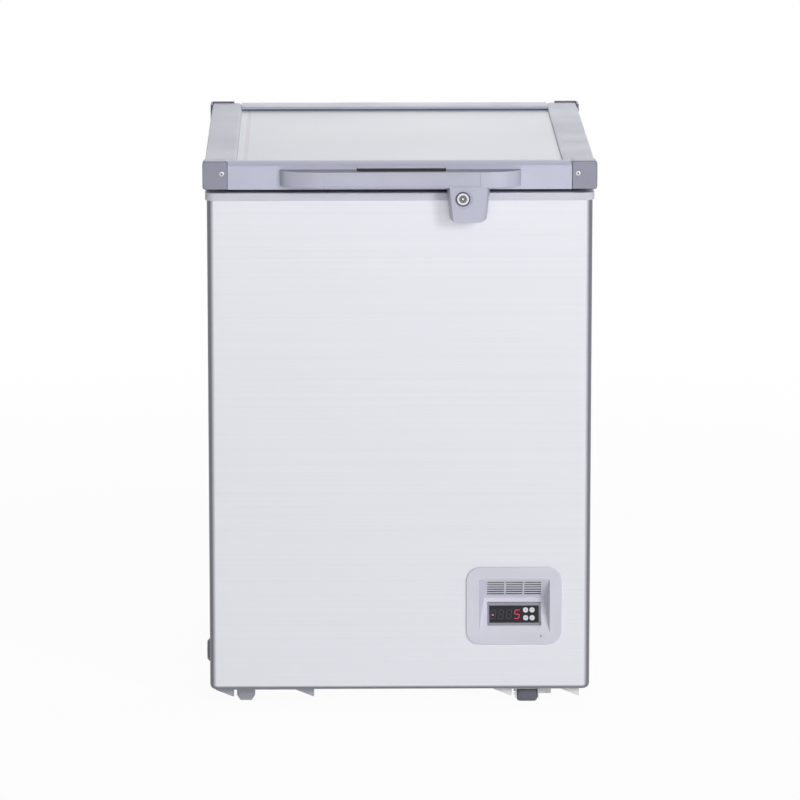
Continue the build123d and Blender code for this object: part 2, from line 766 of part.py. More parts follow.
def control_bezel():
    centre = ((bezel_left + bezel_right) / 2, (bezel_bottom + bezel_top) / 2)
    face = Plane.XZ.offset(-cabinet_front) * Pos(centre[0], centre[1]) * RectangleRounded(
        bezel_right - bezel_left, bezel_top - bezel_bottom, bezel_corner)
    frame = extrude(face, amount=bezel_proud, dir=(0, -1, 0))
    frame = fillet(frame.edges().group_by(Axis.Y)[0], bezel_edge)
    behind = block((bezel_left, bezel_right), (cabinet_front, cabinet_front + 2 * pit_depth),
                   (bezel_bottom, bezel_top))
    frame = frame + (pit_form(bezel_wall) & behind) - pit_form(0)
    drop = grille_top_margin + ((grille_rows - 1) * grille_pitch + grille_slot_height) / 2
    grille = slots((0, -drop, 0), (grille_slot_width + grille_column_gap, grille_pitch, 0),
                   (grille_columns, grille_rows, 1),
                   (grille_slot_width, grille_slot_height, 4 * bezel_wall))
    for slot in grille:
        frame -= hood * slot
    body = facet * Pos(0, controller_rise, 0) * Box(controller_width + 2 * seat_clearance,
                                                   controller_height + 2 * seat_clearance, 4 * bezel_wall)
    hole = rod((screw_hole_x, bezel_front - overrun, screw_hole_z),
               (screw_hole_x, cabinet_front, screw_hole_z), screw_hole_radius)
    return frame - body - hole


# Controller: a panel thermostat that lies in the pit's lower slope
controller_width = 77.0
controller_height = 35.0
controller_rise = 29.6
controller_sink = 2.0
controller_lip = 4.5
controller_side_lip = 2.4
controller_frame = 8.0
controller_body_width = 70.0
controller_body_height = 28.0
controller_body_depth = 46.0
lens_thickness = 1.2
lens_sink = 1.0
button_radius = 3.9
button_proud = 0.9
button_travel = 0.6
button_depth = 2.2
button_clearance = 0.08
button_x = 17.0
button_rise = 36.0
button_pitch = (9.4, 11.8)
screw_hole_inset = 30.5
screw_hole_x = bezel_right - screw_hole_inset
screw_hole_lift = 13.3
screw_hole_z = bezel_bottom + screw_hole_lift
screw_hole_radius = 1.1
lens_top = -controller_sink - lens_sink


def button_places():
    """The four push buttons' centres in the sloping face, two by two."""
    return [Pos(button_x + i * button_pitch[0], button_rise - j * button_pitch[1], 0)
            for j in range(2) for i in range(2)]


def controller():
    top = -controller_sink
    frame = Pos(0, controller_rise, top - controller_frame / 2) * Box(
        controller_width, controller_height, controller_frame)
    body = Pos(0, controller_rise, top - controller_frame - controller_body_depth / 2) * Box(
        controller_body_width, controller_body_height, controller_body_depth)
    recess = lens_sink + lens_thickness
    window = Pos(0, controller_rise, top) * Box(controller_width - 2 * controller_side_lip,
                                                controller_height - 2 * controller_lip, 2 * recess)
    frame = frame + body - window
    well = button_depth + button_travel - lens_thickness
    for place in button_places():
        bore = Cylinder(button_radius + 2 * button_clearance, 2 * well)
        frame -= Pos(0, 0, lens_top - lens_thickness) * place * bore
    return facet * frame


def controller_lens():
    lens = Pos(0, controller_rise, lens_top - lens_thickness / 2) * Box(
        controller_width - 2 * controller_side_lip, controller_height - 2 * controller_lip, lens_thickness)
    for place in button_places():
        bore = Cylinder(button_radius + button_clearance, 4 * lens_thickness)
        lens -= Pos(0, 0, lens_top) * place * bore
    return facet * lens


def button(place):
    key = extrude(Circle(button_radius), amount=button_proud + button_depth)
    key = chamfer(key.edges().group_by(Axis.Z)[-1], button_proud / 2)
    return facet * Pos(0, 0, lens_top - button_depth) * place * key


# Mains gland: the moulded bush in the rear panel where the supply cord enters
gland_inset = 156.5
gland_x = cabinet_side - gland_inset
gland_lift = 31.0
gland_z = floor_gap + gland_lift
gland_neck_radius = 8.0
gland_flange_radius = 12.0
gland_flange = 3.0
gland_nose = 7.0
gland_bore = 4.0
gland_length = 12.0


def mains_gland():
    outer = [(gland_bore, -gland_length), (gland_neck_radius, -gland_length), (gland_neck_radius, 0),
             (gland_flange_radius, 0), (gland_flange_radius, gland_flange / 2),
             (gland_neck_radius, gland_flange), (gland_neck_radius - gland_flange / 2, gland_nose),
             (gland_bore, gland_nose)]
    bush = revolve(Plane.XZ * make_face(Polyline(*outer, close=True)), axis=Axis.Z)
    return Pos(gland_x, cabinet_rear, gland_z) * Rot(-90, 0, 0) * bush


# Lid rails: extruded frame members, slim in front, flat and wide behind and at the sides
rail_depth = 22.0
rear_rail_depth = 50.0
cap_proud = 2.0
rail_front = lid_front + cap_proud
chamber_wall = 3.6
crown_radius = 75.0
fascia_share = 0.885
groove_depth = 1.6
groove_height = 1.4
side_rail_width = 45.0
side_cap_proud = 3.0
side_rail_bevel = 5.0
side_rail_bevel_drop = 2.0
side_rail_corner = 4.0
side_rail_inner_corner = 8.0
panel_drop = 5.0
bead_groove = 1.5
rail_outer = lid_side - side_cap_proud
rail_inner = rail_outer - side_rail_width
cap_width = 36.0
front_cap_depth = rail_depth + cap_proud / 2
rear_cap_depth = 38.0
rail_rear_edge = rail_front + rail_depth
rail_rear = lid_rear - cap_proud
rear_rail_edge = rail_rear - rear_rail_depth


def rail_section():
    """The front rail's outline: a fascia, a shadow groove and a crown that rises to its rear edge."""
    fascia = fascia_share * rail_height
    sill = fascia + groove_height
    bead = rail_height - panel_drop / 2
    crown = RadiusArc((groove_depth / 2, sill), (rail_depth, rail_height), crown_radius)
    rest = Polyline((rail_depth, rail_height), (rail_depth, bead), (rail_depth - bead_groove, bead),
                    (rail_depth - bead_groove, bead - bead_groove), (rail_depth, bead - bead_groove),
                    (rail_depth, 0), (0, 0), (0, fascia), (groove_depth, fascia), (groove_depth, sill),
                    (groove_depth / 2, sill))
    chamber = Rectangle(rail_depth - 2 * chamber_wall, fascia - 2 * chamber_wall)
    return make_face([crown, rest]) - Pos(rail_depth / 2, fascia / 2) * chamber


def front_rail():
    """Between the two front caps, hollow from end to end."""
    half = lid_side - cap_width
    place = Plane.YZ.offset(-half) * Pos(rail_front, lid_bottom)
    return extrude(place * rail_section(), amount=2 * half, dir=(1, 0, 0))


def rear_rail():
    """Between the two side rails: a flat top with a bevel and a groove at the panel, hollow inside."""
    slope = lid_top - side_rail_bevel_drop
    bead = lid_top - panel_drop / 2
    inner = rear_rail_edge + bead_groove
    outline = [(rail_rear, lid_bottom), (rail_rear, lid_top), (rear_rail_edge + side_rail_bevel, lid_top),
               (rear_rail_edge, slope), (rear_rail_edge, bead), (inner, bead), (inner, bead - bead_groove),
               (rear_rail_edge, bead - bead_groove), (rear_rail_edge, lid_bottom)]
    rail = side_profile(outline, (-rail_inner, rail_inner))
    return rail - block((-rail_inner - overrun, rail_inner + overrun),
                        (inner + chamber_wall, rail_rear - chamber_wall),
                        (lid_bottom + chamber_wall, slope - chamber_wall))


def side_rail():
    """The right hand rail: a flat top with a bevel along its inner edge."""
    top = lid_top
    outline = [(rail_outer, lid_bottom), (rail_outer, top), (rail_inner + side_rail_bevel, top),
               (rail_inner, top - side_rail_bevel_drop), (rail_inner, lid_bottom)]
    y = (rail_rear_edge, lid_rear - side_cap_proud)
    rail = front_profile(outline, y)
    uprights = rail.edges().filter_by(Axis.Z).group_by(Axis.Y)[-1].sort_by(Axis.X)
    rail = fillet(uprights[0], side_rail_inner_corner)
    uprights = rail.edges().filter_by(Axis.Z).group_by(Axis.Y)[-1].sort_by(Axis.X)
    rail = fillet(uprights[-1], side_rail_corner)
    top_edge = rail.edges().filter_by(Axis.Y).group_by(Axis.X)[-1].sort_by(Axis.Z)[-1]
    rail = fillet(top_edge, side_rail_corner / 2)
    return rail - block((rail_inner + chamber_wall + side_rail_bevel, rail_outer - chamber_wall),
                        (y[0] - overrun, y[1] - side_rail_width),
                        (lid_bottom + chamber_wall, top - chamber_wall))


# Corner caps: moulded end pieces, full blocks in front and wrap-round shells behind
cap_edge = 2.0
cap_corner = 4.4
cap_inner_corner = 1.5
cap_round = 1.4
cap_wall = 3.0
cap_screw_inset = 27.5
cap_screw_drop = 16.0
screw_radius = 3.5
screw_height = 1.2


def front_cap():
    """The right hand front cap, hollow from below like any thin-walled moulding."""
    x = (lid_side - cap_width, lid_side)
    y = (lid_front, lid_front + front_cap_depth)
    top = lid_top + cap_rise
    cap = block(x, y, (lid_bottom, top))
    cap = fillet(cap.edges().filter_by(Axis.Y).group_by(Axis.X)[-1], cap_corner)
    cap = fillet(cap.edges().filter_by(Axis.Y).group_by(Axis.X)[0], cap_inner_corner)
    cap = fillet(cap.faces().sort_by(Axis.Y)[0].edges(), cap_round)
    return cap - block((x[0] + cap_wall, x[1] - cap_wall - cap_edge),
                       (y[0] + cap_wall + cap_edge, y[1] - cap_wall),
                       (lid_bottom - overrun, top - cap_wall))


def rear_cap():
    """The right hand rear cap: a wall behind and beside the side rail's end, a little higher than it."""
    x = (lid_side - cap_width, lid_side)
    y = (lid_rear - rear_cap_depth, lid_rear)
    top = lid_top + cap_rise
    cap = block(x, y, (lid_bottom, top))
    cap = fillet(cap.edges().filter_by(Axis.Z).sort_by(lambda e: e.center().X + e.center().Y)[-1],
                 cap_corner + side_cap_proud)
    rim = cap.edges().group_by(Axis.Z)[-1].filter_by(
        lambda e: e.center().Y > y[0] + overrun and e.center().X > x[0] + overrun)
    cap = fillet(rim, cap_edge / 2)
    keep = block((x[0] - overrun, rail_outer), (y[0] - overrun, lid_rear - side_cap_proud),
                 (lid_bottom - overrun, top + overrun))
    return cap - keep


def cap_screws():
    heads = []
    z = lid_top - cap_screw_drop
    for side in (-1, 1):
        x = side * (lid_side - cap_screw_inset)
        heads.append(rod((x, lid_front - screw_height, z), (x, lid_front, z), screw_radius))
        heads.append(rod((x, lid_rear, z), (x, lid_rear + screw_height, z), screw_radius))
    return heads


# Lid panels: the top sheet, the foam and the formed inner panel with its insulating plug
lid_skin = 1.0
plug_wall = 2.0
plug_drop = 22.0
plug_setback = 14.0
plug_draft = 5.0
plug_radius = 26.0
panel_top = lid_top - panel_drop


def between_rails(low, high):
    """A slab that fills the lid's frame from one level to another."""
    return block((-rail_inner, rail_inner), (rail_rear_edge, rear_rail_edge), (low, high))


def plug_mouth(high):
    """The insulating plug's open top, up to a level in the lid."""
    inset = plug_setback + plug_wall
    return rounded_block(liner_side - inset, (liner_front + inset, liner_rear - inset),
                         (lid_bottom, high), plug_radius)


def lid_panel():
    return between_rails(panel_top - lid_skin, panel_top)


def lid_plug(inset):
    """The insulating plug under the lid, which narrows downwards."""
    side = liner_side - plug_setback - inset
    y = (liner_front + plug_setback + inset, liner_rear - plug_setback - inset)
    top = Pos(0, (y[0] + y[1]) / 2, lid_bottom) * RectangleRounded(2 * side, y[1] - y[0], plug_radius)
    deep = plug_drop - inset
    return extrude(top, amount=deep, dir=(0, 0, -1), taper=plug_draft)


def lid_inner_panel():
    sheet = between_rails(lid_bottom, lid_bottom + plug_wall)
    hollow = lid_plug(plug_wall) + plug_mouth(lid_bottom + plug_wall + overrun)
    return sheet + lid_plug(0) - hollow


def lid_foam():
    slab = between_rails(lid_bottom + plug_wall, panel_top - lid_skin)
    return slab + lid_plug(plug_wall) + plug_mouth(lid_bottom + plug_wall)


# Gasket: a soft bulb on a thin flange, under the rails and all round the mouth
gasket_setback = 13.0
gasket_width = 36.0
gasket_flange = 1.2
bulb_width = 17.0
bulb_inset = 3.0
bulb_round = 1.6


def ring(outer_inset, width, z, radius):
    """A level ring under the lid's frame, set in from its faces."""
    side = rail_outer - outer_inset
    y = (rail_front + outer_inset, rail_rear - outer_inset)
    outer = rounded_block(side, y, z, radius)
    return outer - rounded_block(side - width, (y[0] + width, y[1] - width),
                                 (z[0] - overrun, z[1] + overrun), max(radius - width, radius / 4))


def gasket():
    flange = ring(gasket_setback, gasket_width, (lid_bottom - gasket_flange, lid_bottom), corner_radius)
    bulb = ring(gasket_setback + bulb_inset, bulb_width,
                (collar_top + seat_clearance, lid_bottom - gasket_flange), corner_radius)
    return flange + chamfer(bulb.edges().group_by(Axis.Z)[0], bulb_round)


# Handle: a bowed moulding on the front rail, with a finger opening behind its bar
handle_left = -171.5
handle_right = 173.0
handle_height = 22.6
handle_rise = 6.4
handle_bottom = lid_bottom + handle_rise
handle_end = 60.0
finger_corner = 5.0
handle_wall = 3.0
bar_thickness = 9.0
finger_left = -61.6
finger_right = 65.7
inset_left = -110.0
inset_right = 114.0
inset_margin = 2.2
inset_depth = 0.6
handle_front = lid_front - handle_reach


def handle_plan(inset):
    """The handle seen from above: a straight bar with elliptical ends, against the fascia."""
    reach = rail_front - handle_front - inset
    end = handle_end - inset
    low, high = handle_left + handle_end, handle_right - handle_end
    plan = Pos((low + high) / 2, rail_front - reach / 2) * Rectangle(high - low, reach)
    for x in (low, high):
        plan += Pos(x, rail_front) * Ellipse(end, reach)
    before = Rectangle(2 * (high - low + 2 * end), 2 * reach)
    return plan & Pos((low + high) / 2, rail_front - reach) * before


def handle():
    z = (handle_bottom, handle_bottom + handle_height)
    y = (handle_front + bar_thickness, rail_front)
    body = extrude(Pos(0, 0, z[0]) * handle_plan(0), amount=handle_height, dir=(0, 0, 1))
    hollow = extrude(Pos(0, 0, z[0] - overrun) * handle_plan(handle_wall),
                     amount=handle_height + overrun - handle_wall, dir=(0, 0, 1))
    hollow &= block((handle_left, handle_right), (y[0], y[1] - handle_wall), (z[0] - overrun, z[1]))
    left = hollow & block((handle_left, finger_left - handle_wall), y, (z[0] - overrun, z[1]))
    right = hollow & block((finger_right + handle_wall, handle_right), y, (z[0] + handle_wall, z[1]))
    fingers = block((finger_left, finger_right), (y[0], y[1] + overrun), (z[0] - overrun, z[1] + overrun))
    fingers = fillet(fingers.edges().filter_by(Axis.Z).group_by(Axis.Y)[0], finger_corner)
    panel = block((inset_left, inset_right), (handle_front - overrun, handle_front + inset_depth),
                  (z[0] + inset_margin, z[1] - inset_margin))
    return body - fingers - left - right - panel


# Lock housing: a drafted hollow boss under the handle, over the keeper on the cabinet
housing_face_left = 70.4
housing_face_right = 124.3
housing_height = 49.6
housing_bottom = handle_bottom - housing_height
housing_draft = 4.0
housing_draft_depth = 13.0
housing_pinch = 5.5
housing_corner = 5.0
housing_wall = 2.6
housing_rear_gap = 4.0
lock_x = 89.4
lock_drop = 9.7
lock_z = lid_bottom - lock_drop
dish_radius = 13.4
dish_depth = 1.2
barrel_ring = 10.7
barrel_radius = 8.9
barrel_flange = 1.2
plug_face_radius = 6.6
barrel_length = 20.0
housing_face = handle_front
housing_rear = cabinet_front - collar_wall - housing_rear_gap


def housing_outline(grow, lower):
    """The boss seen from the front: straight sides that pinch in towards a rounded lower edge."""
    top = handle_bottom
    low = housing_bottom + lower - grow
    left, right = housing_face_left - grow, housing_face_right + grow
    face = make_face(Polyline((left, top), (right, top), (right - housing_pinch, low),
                              (left + housing_pinch, low), close=True))
    return fillet(face.vertices().group_by(Axis.Y)[0], housing_corner)


def housing_form(wall):
    """The boss's solid form, drawn in by a wall on every side but its rear."""
    start = housing_face + wall
    flare = housing_face + housing_draft_depth
    small = Plane.XZ.offset(-start) * housing_outline(-wall, 0)
    large = Plane.XZ.offset(-flare) * housing_outline(housing_draft - wall, housing_draft)
    nose = loft([small.face(), large.face()])
    return nose + extrude(large, amount=housing_rear - flare + (overrun if wall else 0), dir=(0, 1, 0))


def lock_housing():
    boss = housing_form(0)
    hollow = housing_form(housing_wall)
    hollow &= block((housing_face_left - housing_draft, housing_face_right + housing_draft),
                    (housing_face, cabinet_front), (housing_bottom, handle_bottom - housing_wall))
    boss -= hollow
    axis = ((lock_x, housing_face - overrun, lock_z), (lock_x, housing_face + 2 * housing_wall, lock_z))
    boss -= block((housing_face_left - housing_draft, housing_face_right + housing_draft),
                  (rail_front, cabinet_front), (lid_bottom - seat_clearance, handle_bottom + overrun))
    boss -= rod(axis[0], (lock_x, housing_face + dish_depth, lock_z), dish_radius)
    boss -= rod(*axis, barrel_radius + running_clearance)
    reach = keeper_width / 2 + housing_wall
    return boss - block((lock_x - reach, lock_x + reach), (housing_rear - keeper_reach, cabinet_front),
                        (housing_bottom - overrun, keeper_top))


# Lock: a cam lock whose hooked cam turns under the keeper's ledge
cam_thickness = 2.0
cam_width = 11.0
cam_reach = 25.0
cam_hook = 5.0
cam_hook_depth = 11.0
keyway_width = 1.6
keyway_height = 7.0
keyway_depth = 6.0
keeper_width = 21.0
keeper_ledge = 10.8
keeper_thickness = 1.5
keeper_reach = 7.5
keeper_height = 15.0
barrel_front = housing_face + dish_depth
barrel_rear = barrel_front + barrel_length
keeper_lift = 3.7
keeper_top = lock_z - cam_reach + cam_hook + keeper_lift


def lock_barrel():
    front = barrel_front - barrel_flange
    barrel = rod((lock_x, barrel_front, lock_z), (lock_x, barrel_rear, lock_z), barrel_radius)
    flange = rod((lock_x, front, lock_z), (lock_x, barrel_front, lock_z), barrel_ring)
    flange = chamfer(flange.edges().group_by(Axis.Y)[0], barrel_flange / 2)
    bore = rod((lock_x, front - overrun, lock_z), (lock_x, barrel_rear + overrun, lock_z),
               plug_face_radius + running_clearance)
    return barrel + flange - bore


def lock_plug():
    front = barrel_front - barrel_flange / 2
    plug = rod((lock_x, front, lock_z), (lock_x, barrel_rear, lock_z), plug_face_radius)
    keyway = Pos(lock_x, front, lock_z) * Box(keyway_height, 2 * keyway_depth, keyway_width)
    return plug - keyway


def lock_cam():
    """Shown unlocked, pointing right; a quarter turn brings its hook under the keeper."""
    y = (barrel_rear, barrel_rear + cam_thickness)
    half = cam_width / 2
    arm = block((lock_x - half, lock_x + cam_reach), y, (lock_z - half, lock_z + half))
    arm = fillet(arm.edges().filter_by(Axis.Y), half / 2)
    hook = block((lock_x + cam_reach - cam_hook, lock_x + cam_reach), (y[0], y[1] + cam_hook_depth),
                 (lock_z - half, lock_z + half))
    return arm + hook


def keeper():
    x = (lock_x - keeper_width / 2, lock_x + keeper_width / 2)
    plate = block(x, (cabinet_front - keeper_thickness, cabinet_front),
                  (keeper_top - keeper_height, keeper_top))
    ledge = block((lock_x - keeper_ledge / 2, lock_x + keeper_ledge / 2),
                  (cabinet_front - keeper_reach, cabinet_front),
                  (keeper_top - keeper_thickness, keeper_top))
    return plate + ledge


# Hinges: folded steel leaves and knuckles on the rear, one at each end of the lid
hinge_inset = 64.0
hinge_x = rail_inner - hinge_inset
hinge_width = 44.0
leaf_thickness = 2.0
hinge_pin_radius = 3.0
hinge_base_height = 62.0
knuckle_radius = 5.0
knuckle_share = 0.3
knuckle_gap = 0.5
pin_head = 1.5
hinge_rise = 2.0
hinge_y = lid_rear + hinge_reach - knuckle_radius
hinge_z = lid_bottom + hinge_rise


def hinge_spans():
    """The knuckles along X: two outer ones on the cabinet's leaf, a middle one on the lid's."""
    half = hinge_width / 2
    inner = half - hinge_width * knuckle_share
    return [(-half, -inner), (knuckle_gap - inner, inner - knuckle_gap), (inner, half)]


def hinge_bore(x):
    return rod((x - hinge_width, hinge_y, hinge_z), (x + hinge_width, hinge_y, hinge_z),
               hinge_pin_radius + running_clearance)


def hinge_base(x):
    """The cabinet's leaf: flat on the rear panel, then set out past the collar to its knuckles."""
    near = cabinet_rear
    far = cabinet_rear + collar_wall + seat_clearance
    knee = collar_top - collar_skirt - leaf_thickness
    low = knee - hinge_base_height
    shelf = hinge_z - knuckle_radius
    outline = [(near, low), (near, knee - leaf_thickness), (far, knee), (far, shelf + leaf_thickness),
               (far + leaf_thickness, shelf + leaf_thickness),
               (far + leaf_thickness, knee - leaf_thickness / 2),
               (near + leaf_thickness, knee - leaf_thickness * 3 / 2), (near + leaf_thickness, low)]
    leaf = side_profile(outline, (x - hinge_width / 2, x + hinge_width / 2))
    spans = hinge_spans()
    window = spans[1]
    for span in (spans[0], spans[2]):
        knuckle = rod((x + span[0], hinge_y, hinge_z), (x + span[1], hinge_y, hinge_z), knuckle_radius)
        arm = block((x + span[0], x + span[1]), (far, hinge_y), (shelf, shelf + leaf_thickness))
        leaf += knuckle + arm
    clear = knuckle_radius + seat_clearance
    leaf -= block((x + window[0] - knuckle_gap, x + window[1] + knuckle_gap),
                  (far - overrun, hinge_y + clear), (hinge_z - clear, hinge_z + clear))
    return leaf - hinge_bore(x)


def hinge_leaf(x):
    """The lid's leaf: flat on the rear rail, rolled round the pin between the other two knuckles."""
    span = hinge_spans()[1]
    strap = block((x + span[0], x + span[1]), (rail_rear, hinge_y),
                  (hinge_z + knuckle_radius - leaf_thickness, hinge_z + knuckle_radius))
    wide = block((x - hinge_width / 2, x + hinge_width / 2), (rail_rear, rail_rear + leaf_thickness),
                 (hinge_z + knuckle_radius - leaf_thickness, panel_top))
    knuckle = rod((x + span[0], hinge_y, hinge_z), (x + span[1], hinge_y, hinge_z), knuckle_radius)
    return strap + wide + knuckle - hinge_bore(x)


def hinge_pin(x):
    half = hinge_width / 2
    pin = rod((x - half, hinge_y, hinge_z), (x + half, hinge_y, hinge_z), hinge_pin_radius)
    head = hinge_pin_radius + pin_head / 2
    for side in (-1, 1):
        end = x + side * half
        pin += rod((end, hinge_y, hinge_z), (end + side * pin_head, hinge_y, hinge_z), head)
    return pin


# Screws that show at the rear: they hold the hinge leaves and the rear panel
panel_screw_inset = 9.0
panel_screw_low = 25.0
panel_screw_high = 109.0
panel_screw_count = 5
panel_screw_pitch = (cabinet_height - panel_screw_low - panel_screw_high) / (panel_screw_count - 1)


def rear_screws():
    heads = []
    y = cabinet_rear
    for side in (-1, 1):
        for i in range(panel_screw_count):
            z = floor_gap + panel_screw_low + i * panel_screw_pitch
            x = side * (cabinet_side - panel_screw_inset)
            heads.append(rod((x, y, z), (x, y + screw_height, z), screw_radius))
        for dx in (-1, 1):
            x = side * hinge_x + dx * hinge_width / 4
            z = collar_top - collar_skirt - hinge_base_height / 2
            leaf_y = y + leaf_thickness
            heads.append(rod((x, leaf_y, z), (x, leaf_y + screw_height, z), screw_radius))
    return heads


front_foot, rear_foot = [y for y, _ in front_and_rear(foot_setback)]
roller_rows = front_and_rear(roller_setback)

save("outer_wrap", outer_wrap())
save("rear_panel", rear_panel())
save("base_pan", base_pan())
save("machine_cover", machine_cover())
save("liner", liner())
save("cabinet_foam", cabinet_foam())
save("collar", collar())
save("evaporator_coil", evaporator_coil())
save("drain_pipe", drain_pipe())
save("drain_plug", drain_plug())
save("foot_front", foot(front_foot))
save("foot_rear", foot(rear_foot))
save("foot_brackets", foot_brackets())
for name, (y, facing) in zip(("front", "rear"), roller_rows):
    save(f"roller_bracket_{name}", roller_bracket(y, facing))
    save(f"roller_{name}", roller(y))
save("roller_axles", [roller_axle(y) for y, _ in roller_rows])
save("bracket_bolts", bracket_bolts())
save("compressor", compressor())
save("compressor_grommets", compressor_grommets())
save("terminal_cover", terminal_cover())
save("condenser", condenser())
save("fan_shroud", fan_shroud())
save("fan_motor", fan_motor())
save("fan_blade", fan_blade())
save("refrigerant_pipes", refrigerant_pipes())
save("filter_drier", filter_drier())
save("control_bezel", control_bezel())
save("controller", controller())
save("controller_lens", controller_lens())
for name, place in zip(("up", "set", "down", "light"), button_places()):
    save(f"button_{name}", button(place))
save("mains_gland", mains_gland())
save("lid_rail_front", front_rail())
save("lid_rail_rear", rear_rail())
for name, rail in zip(("right", "left"), mirrored(side_rail())):
    save(f"lid_rail_{name}", rail)
for name, cap in zip(("right", "left"), mirrored(front_cap())):
    save(f"cap_front_{name}", cap)
for name, cap in zip(("right", "left"), mirrored(rear_cap())):
    save(f"cap_rear_{name}", cap)
save("cap_screws", cap_screws())
save("lid_panel", lid_panel())
save("lid_inner_panel", lid_inner_panel())
save("lid_foam", lid_foam())
save("gasket", gasket())
save("handle", handle())
save("lock_housing", lock_housing())
save("lock_barrel", lock_barrel())
save("lock_plug", lock_plug())
save("lock_cam", lock_cam())
save("keeper", keeper())
save("hinge_bases", [hinge_base(x) for x in (-hinge_x, hinge_x)])
save("hinge_leaves", [hinge_leaf(x) for x in (-hinge_x, hinge_x)])
save("hinge_pins", [hinge_pin(x) for x in (-hinge_x, hinge_x)])
save("rear_screws", rear_screws())
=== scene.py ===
import math

import bpy
import numpy as np
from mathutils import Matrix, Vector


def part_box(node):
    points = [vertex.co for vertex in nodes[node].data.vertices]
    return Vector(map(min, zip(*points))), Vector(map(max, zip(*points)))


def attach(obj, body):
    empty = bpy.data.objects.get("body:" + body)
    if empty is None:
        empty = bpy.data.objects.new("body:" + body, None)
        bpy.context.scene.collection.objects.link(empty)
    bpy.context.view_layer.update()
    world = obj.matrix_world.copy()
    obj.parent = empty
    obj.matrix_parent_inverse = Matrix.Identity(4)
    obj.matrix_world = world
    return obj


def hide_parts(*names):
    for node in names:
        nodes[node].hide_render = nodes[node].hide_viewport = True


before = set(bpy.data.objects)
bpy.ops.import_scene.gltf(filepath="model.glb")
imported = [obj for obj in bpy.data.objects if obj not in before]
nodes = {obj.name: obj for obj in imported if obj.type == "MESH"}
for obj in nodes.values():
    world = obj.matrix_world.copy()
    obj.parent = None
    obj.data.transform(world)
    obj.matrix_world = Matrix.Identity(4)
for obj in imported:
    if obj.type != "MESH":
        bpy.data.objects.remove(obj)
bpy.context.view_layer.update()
mm = 0.001

# Outer wrap: one sheet of brushed stainless steel, folded round the front and both sides.
# The grain runs level round the cabinet, as it does on sheet that is cut across the coil,
# and the lacquer over it shines softly. The folds are painted darker: painted shade.
sheet_colour = (0.8, 0.81, 0.86)
# Painted shade on the folds: its colour, its strength, and the normal's leans where it begins and ends.
fold_shade_colour = (0.16, 0.155, 0.195)
sheet_grain = (1.6, 1.6, 900.0)
sheet_streak = (0.9, 0.9, 160.0)
fold_shade_strength = 0.95
fold_shade_begins = (0.15, 0.6)
fold_shade_ends = (0.985, 0.998)
lower_fold_shade = (-0.5, -0.1)
weld_distance = 0.01 * mm
fold_angle = math.radians(31)
edge_radius = 0.6 * mm


def add(tree, kind, values=(), **properties):
    """Places a node in a tree, sets its properties and fills its sockets with values or links."""
    node = tree.nodes.new(kind)
    for name, value in properties.items():
        setattr(node, name, value)
    for key, value in dict(values).items():
        if isinstance(value, bpy.types.NodeSocket):
            tree.links.new(value, node.inputs[key])
        else:
            node.inputs[key].default_value = value
    return node


def reckon(tree, operation, *values):
    """The result of one operation on plain values."""
    return add(tree, "ShaderNodeMath", dict(enumerate(values)), operation=operation).outputs[0]


def reckon_vector(tree, operation, *values):
    """The same for vectors; a length or a dot product comes out as a plain value."""
    made = add(tree, "ShaderNodeVectorMath", dict(enumerate(values)), operation=operation)
    return made.outputs["Value" if operation in ("LENGTH", "DOT_PRODUCT") else "Vector"]


def product(tree, *factors):
    """The product of two or three values."""
    result = factors[0]
    for factor in factors[1:]:
        result = reckon(tree, "MULTIPLY", result, factor)
    return result


def between(tree, value, low=0.0, high=1.0, start=0.3, end=0.7):
    """A value that goes from low to high as another goes from start to end, and no further."""
    return add(tree, "ShaderNodeMapRange", {"Value": value, "From Min": start, "From Max": end,
                                            "To Min": low, "To Max": high}).outputs[0]


def inside(tree, value, limits, edge):
    """One between two limits, nought outside them, with a ramp of one edge to either side of each."""
    above = between(tree, value, 0.0, 1.0, limits[0] - edge, limits[0] + edge)
    return product(tree, above, between(tree, value, 1.0, 0.0, limits[1] - edge, limits[1] + edge))


def place_in(tree):
    """This point's place along the object's own axes, in metres."""
    return add(tree, "ShaderNodeTexCoord").outputs["Object"]


def axes_of(tree, vector):
    """The three parts of a vector."""
    return add(tree, "ShaderNodeSeparateXYZ", {0: vector}).outputs


def facing(tree, axis):
    """How far this point's own normal leans along one of the object's axes, from -1 to 1."""
    return axes_of(tree, add(tree, "ShaderNodeTexCoord").outputs["Normal"])[axis]


def shaded(tree, colour, other, amount):
    """The first colour, turned towards the other by an amount."""
    mix = add(tree, "ShaderNodeMix", {0: amount}, data_type="RGBA")
    for socket, value in ((mix.inputs[6], colour), (mix.inputs[7], other)):
        if isinstance(value, bpy.types.NodeSocket):
            tree.links.new(value, socket)
        else:
            socket.default_value = (*value, 1.0)
    return mix.outputs[2]


def tinted(colour, factor):
    """The same colour, darker or lighter."""
    return tuple(min(channel * factor, 1.0) for channel in colour)


def open_group(name, kind, inputs, outputs):
    """A node group with named sockets, given as name: (type, default)."""
    group = bpy.data.node_groups.new(name, kind)
    for label, (socket, default) in inputs.items():
        made = group.interface.new_socket(label, in_out="INPUT", socket_type=socket)
        if default is not None:
            made.default_value = default
    for label, socket in outputs.items():
        group.interface.new_socket(label, in_out="OUTPUT", socket_type=socket)
    return group, group.nodes.new("NodeGroupInput").outputs, group.nodes.new("NodeGroupOutput")


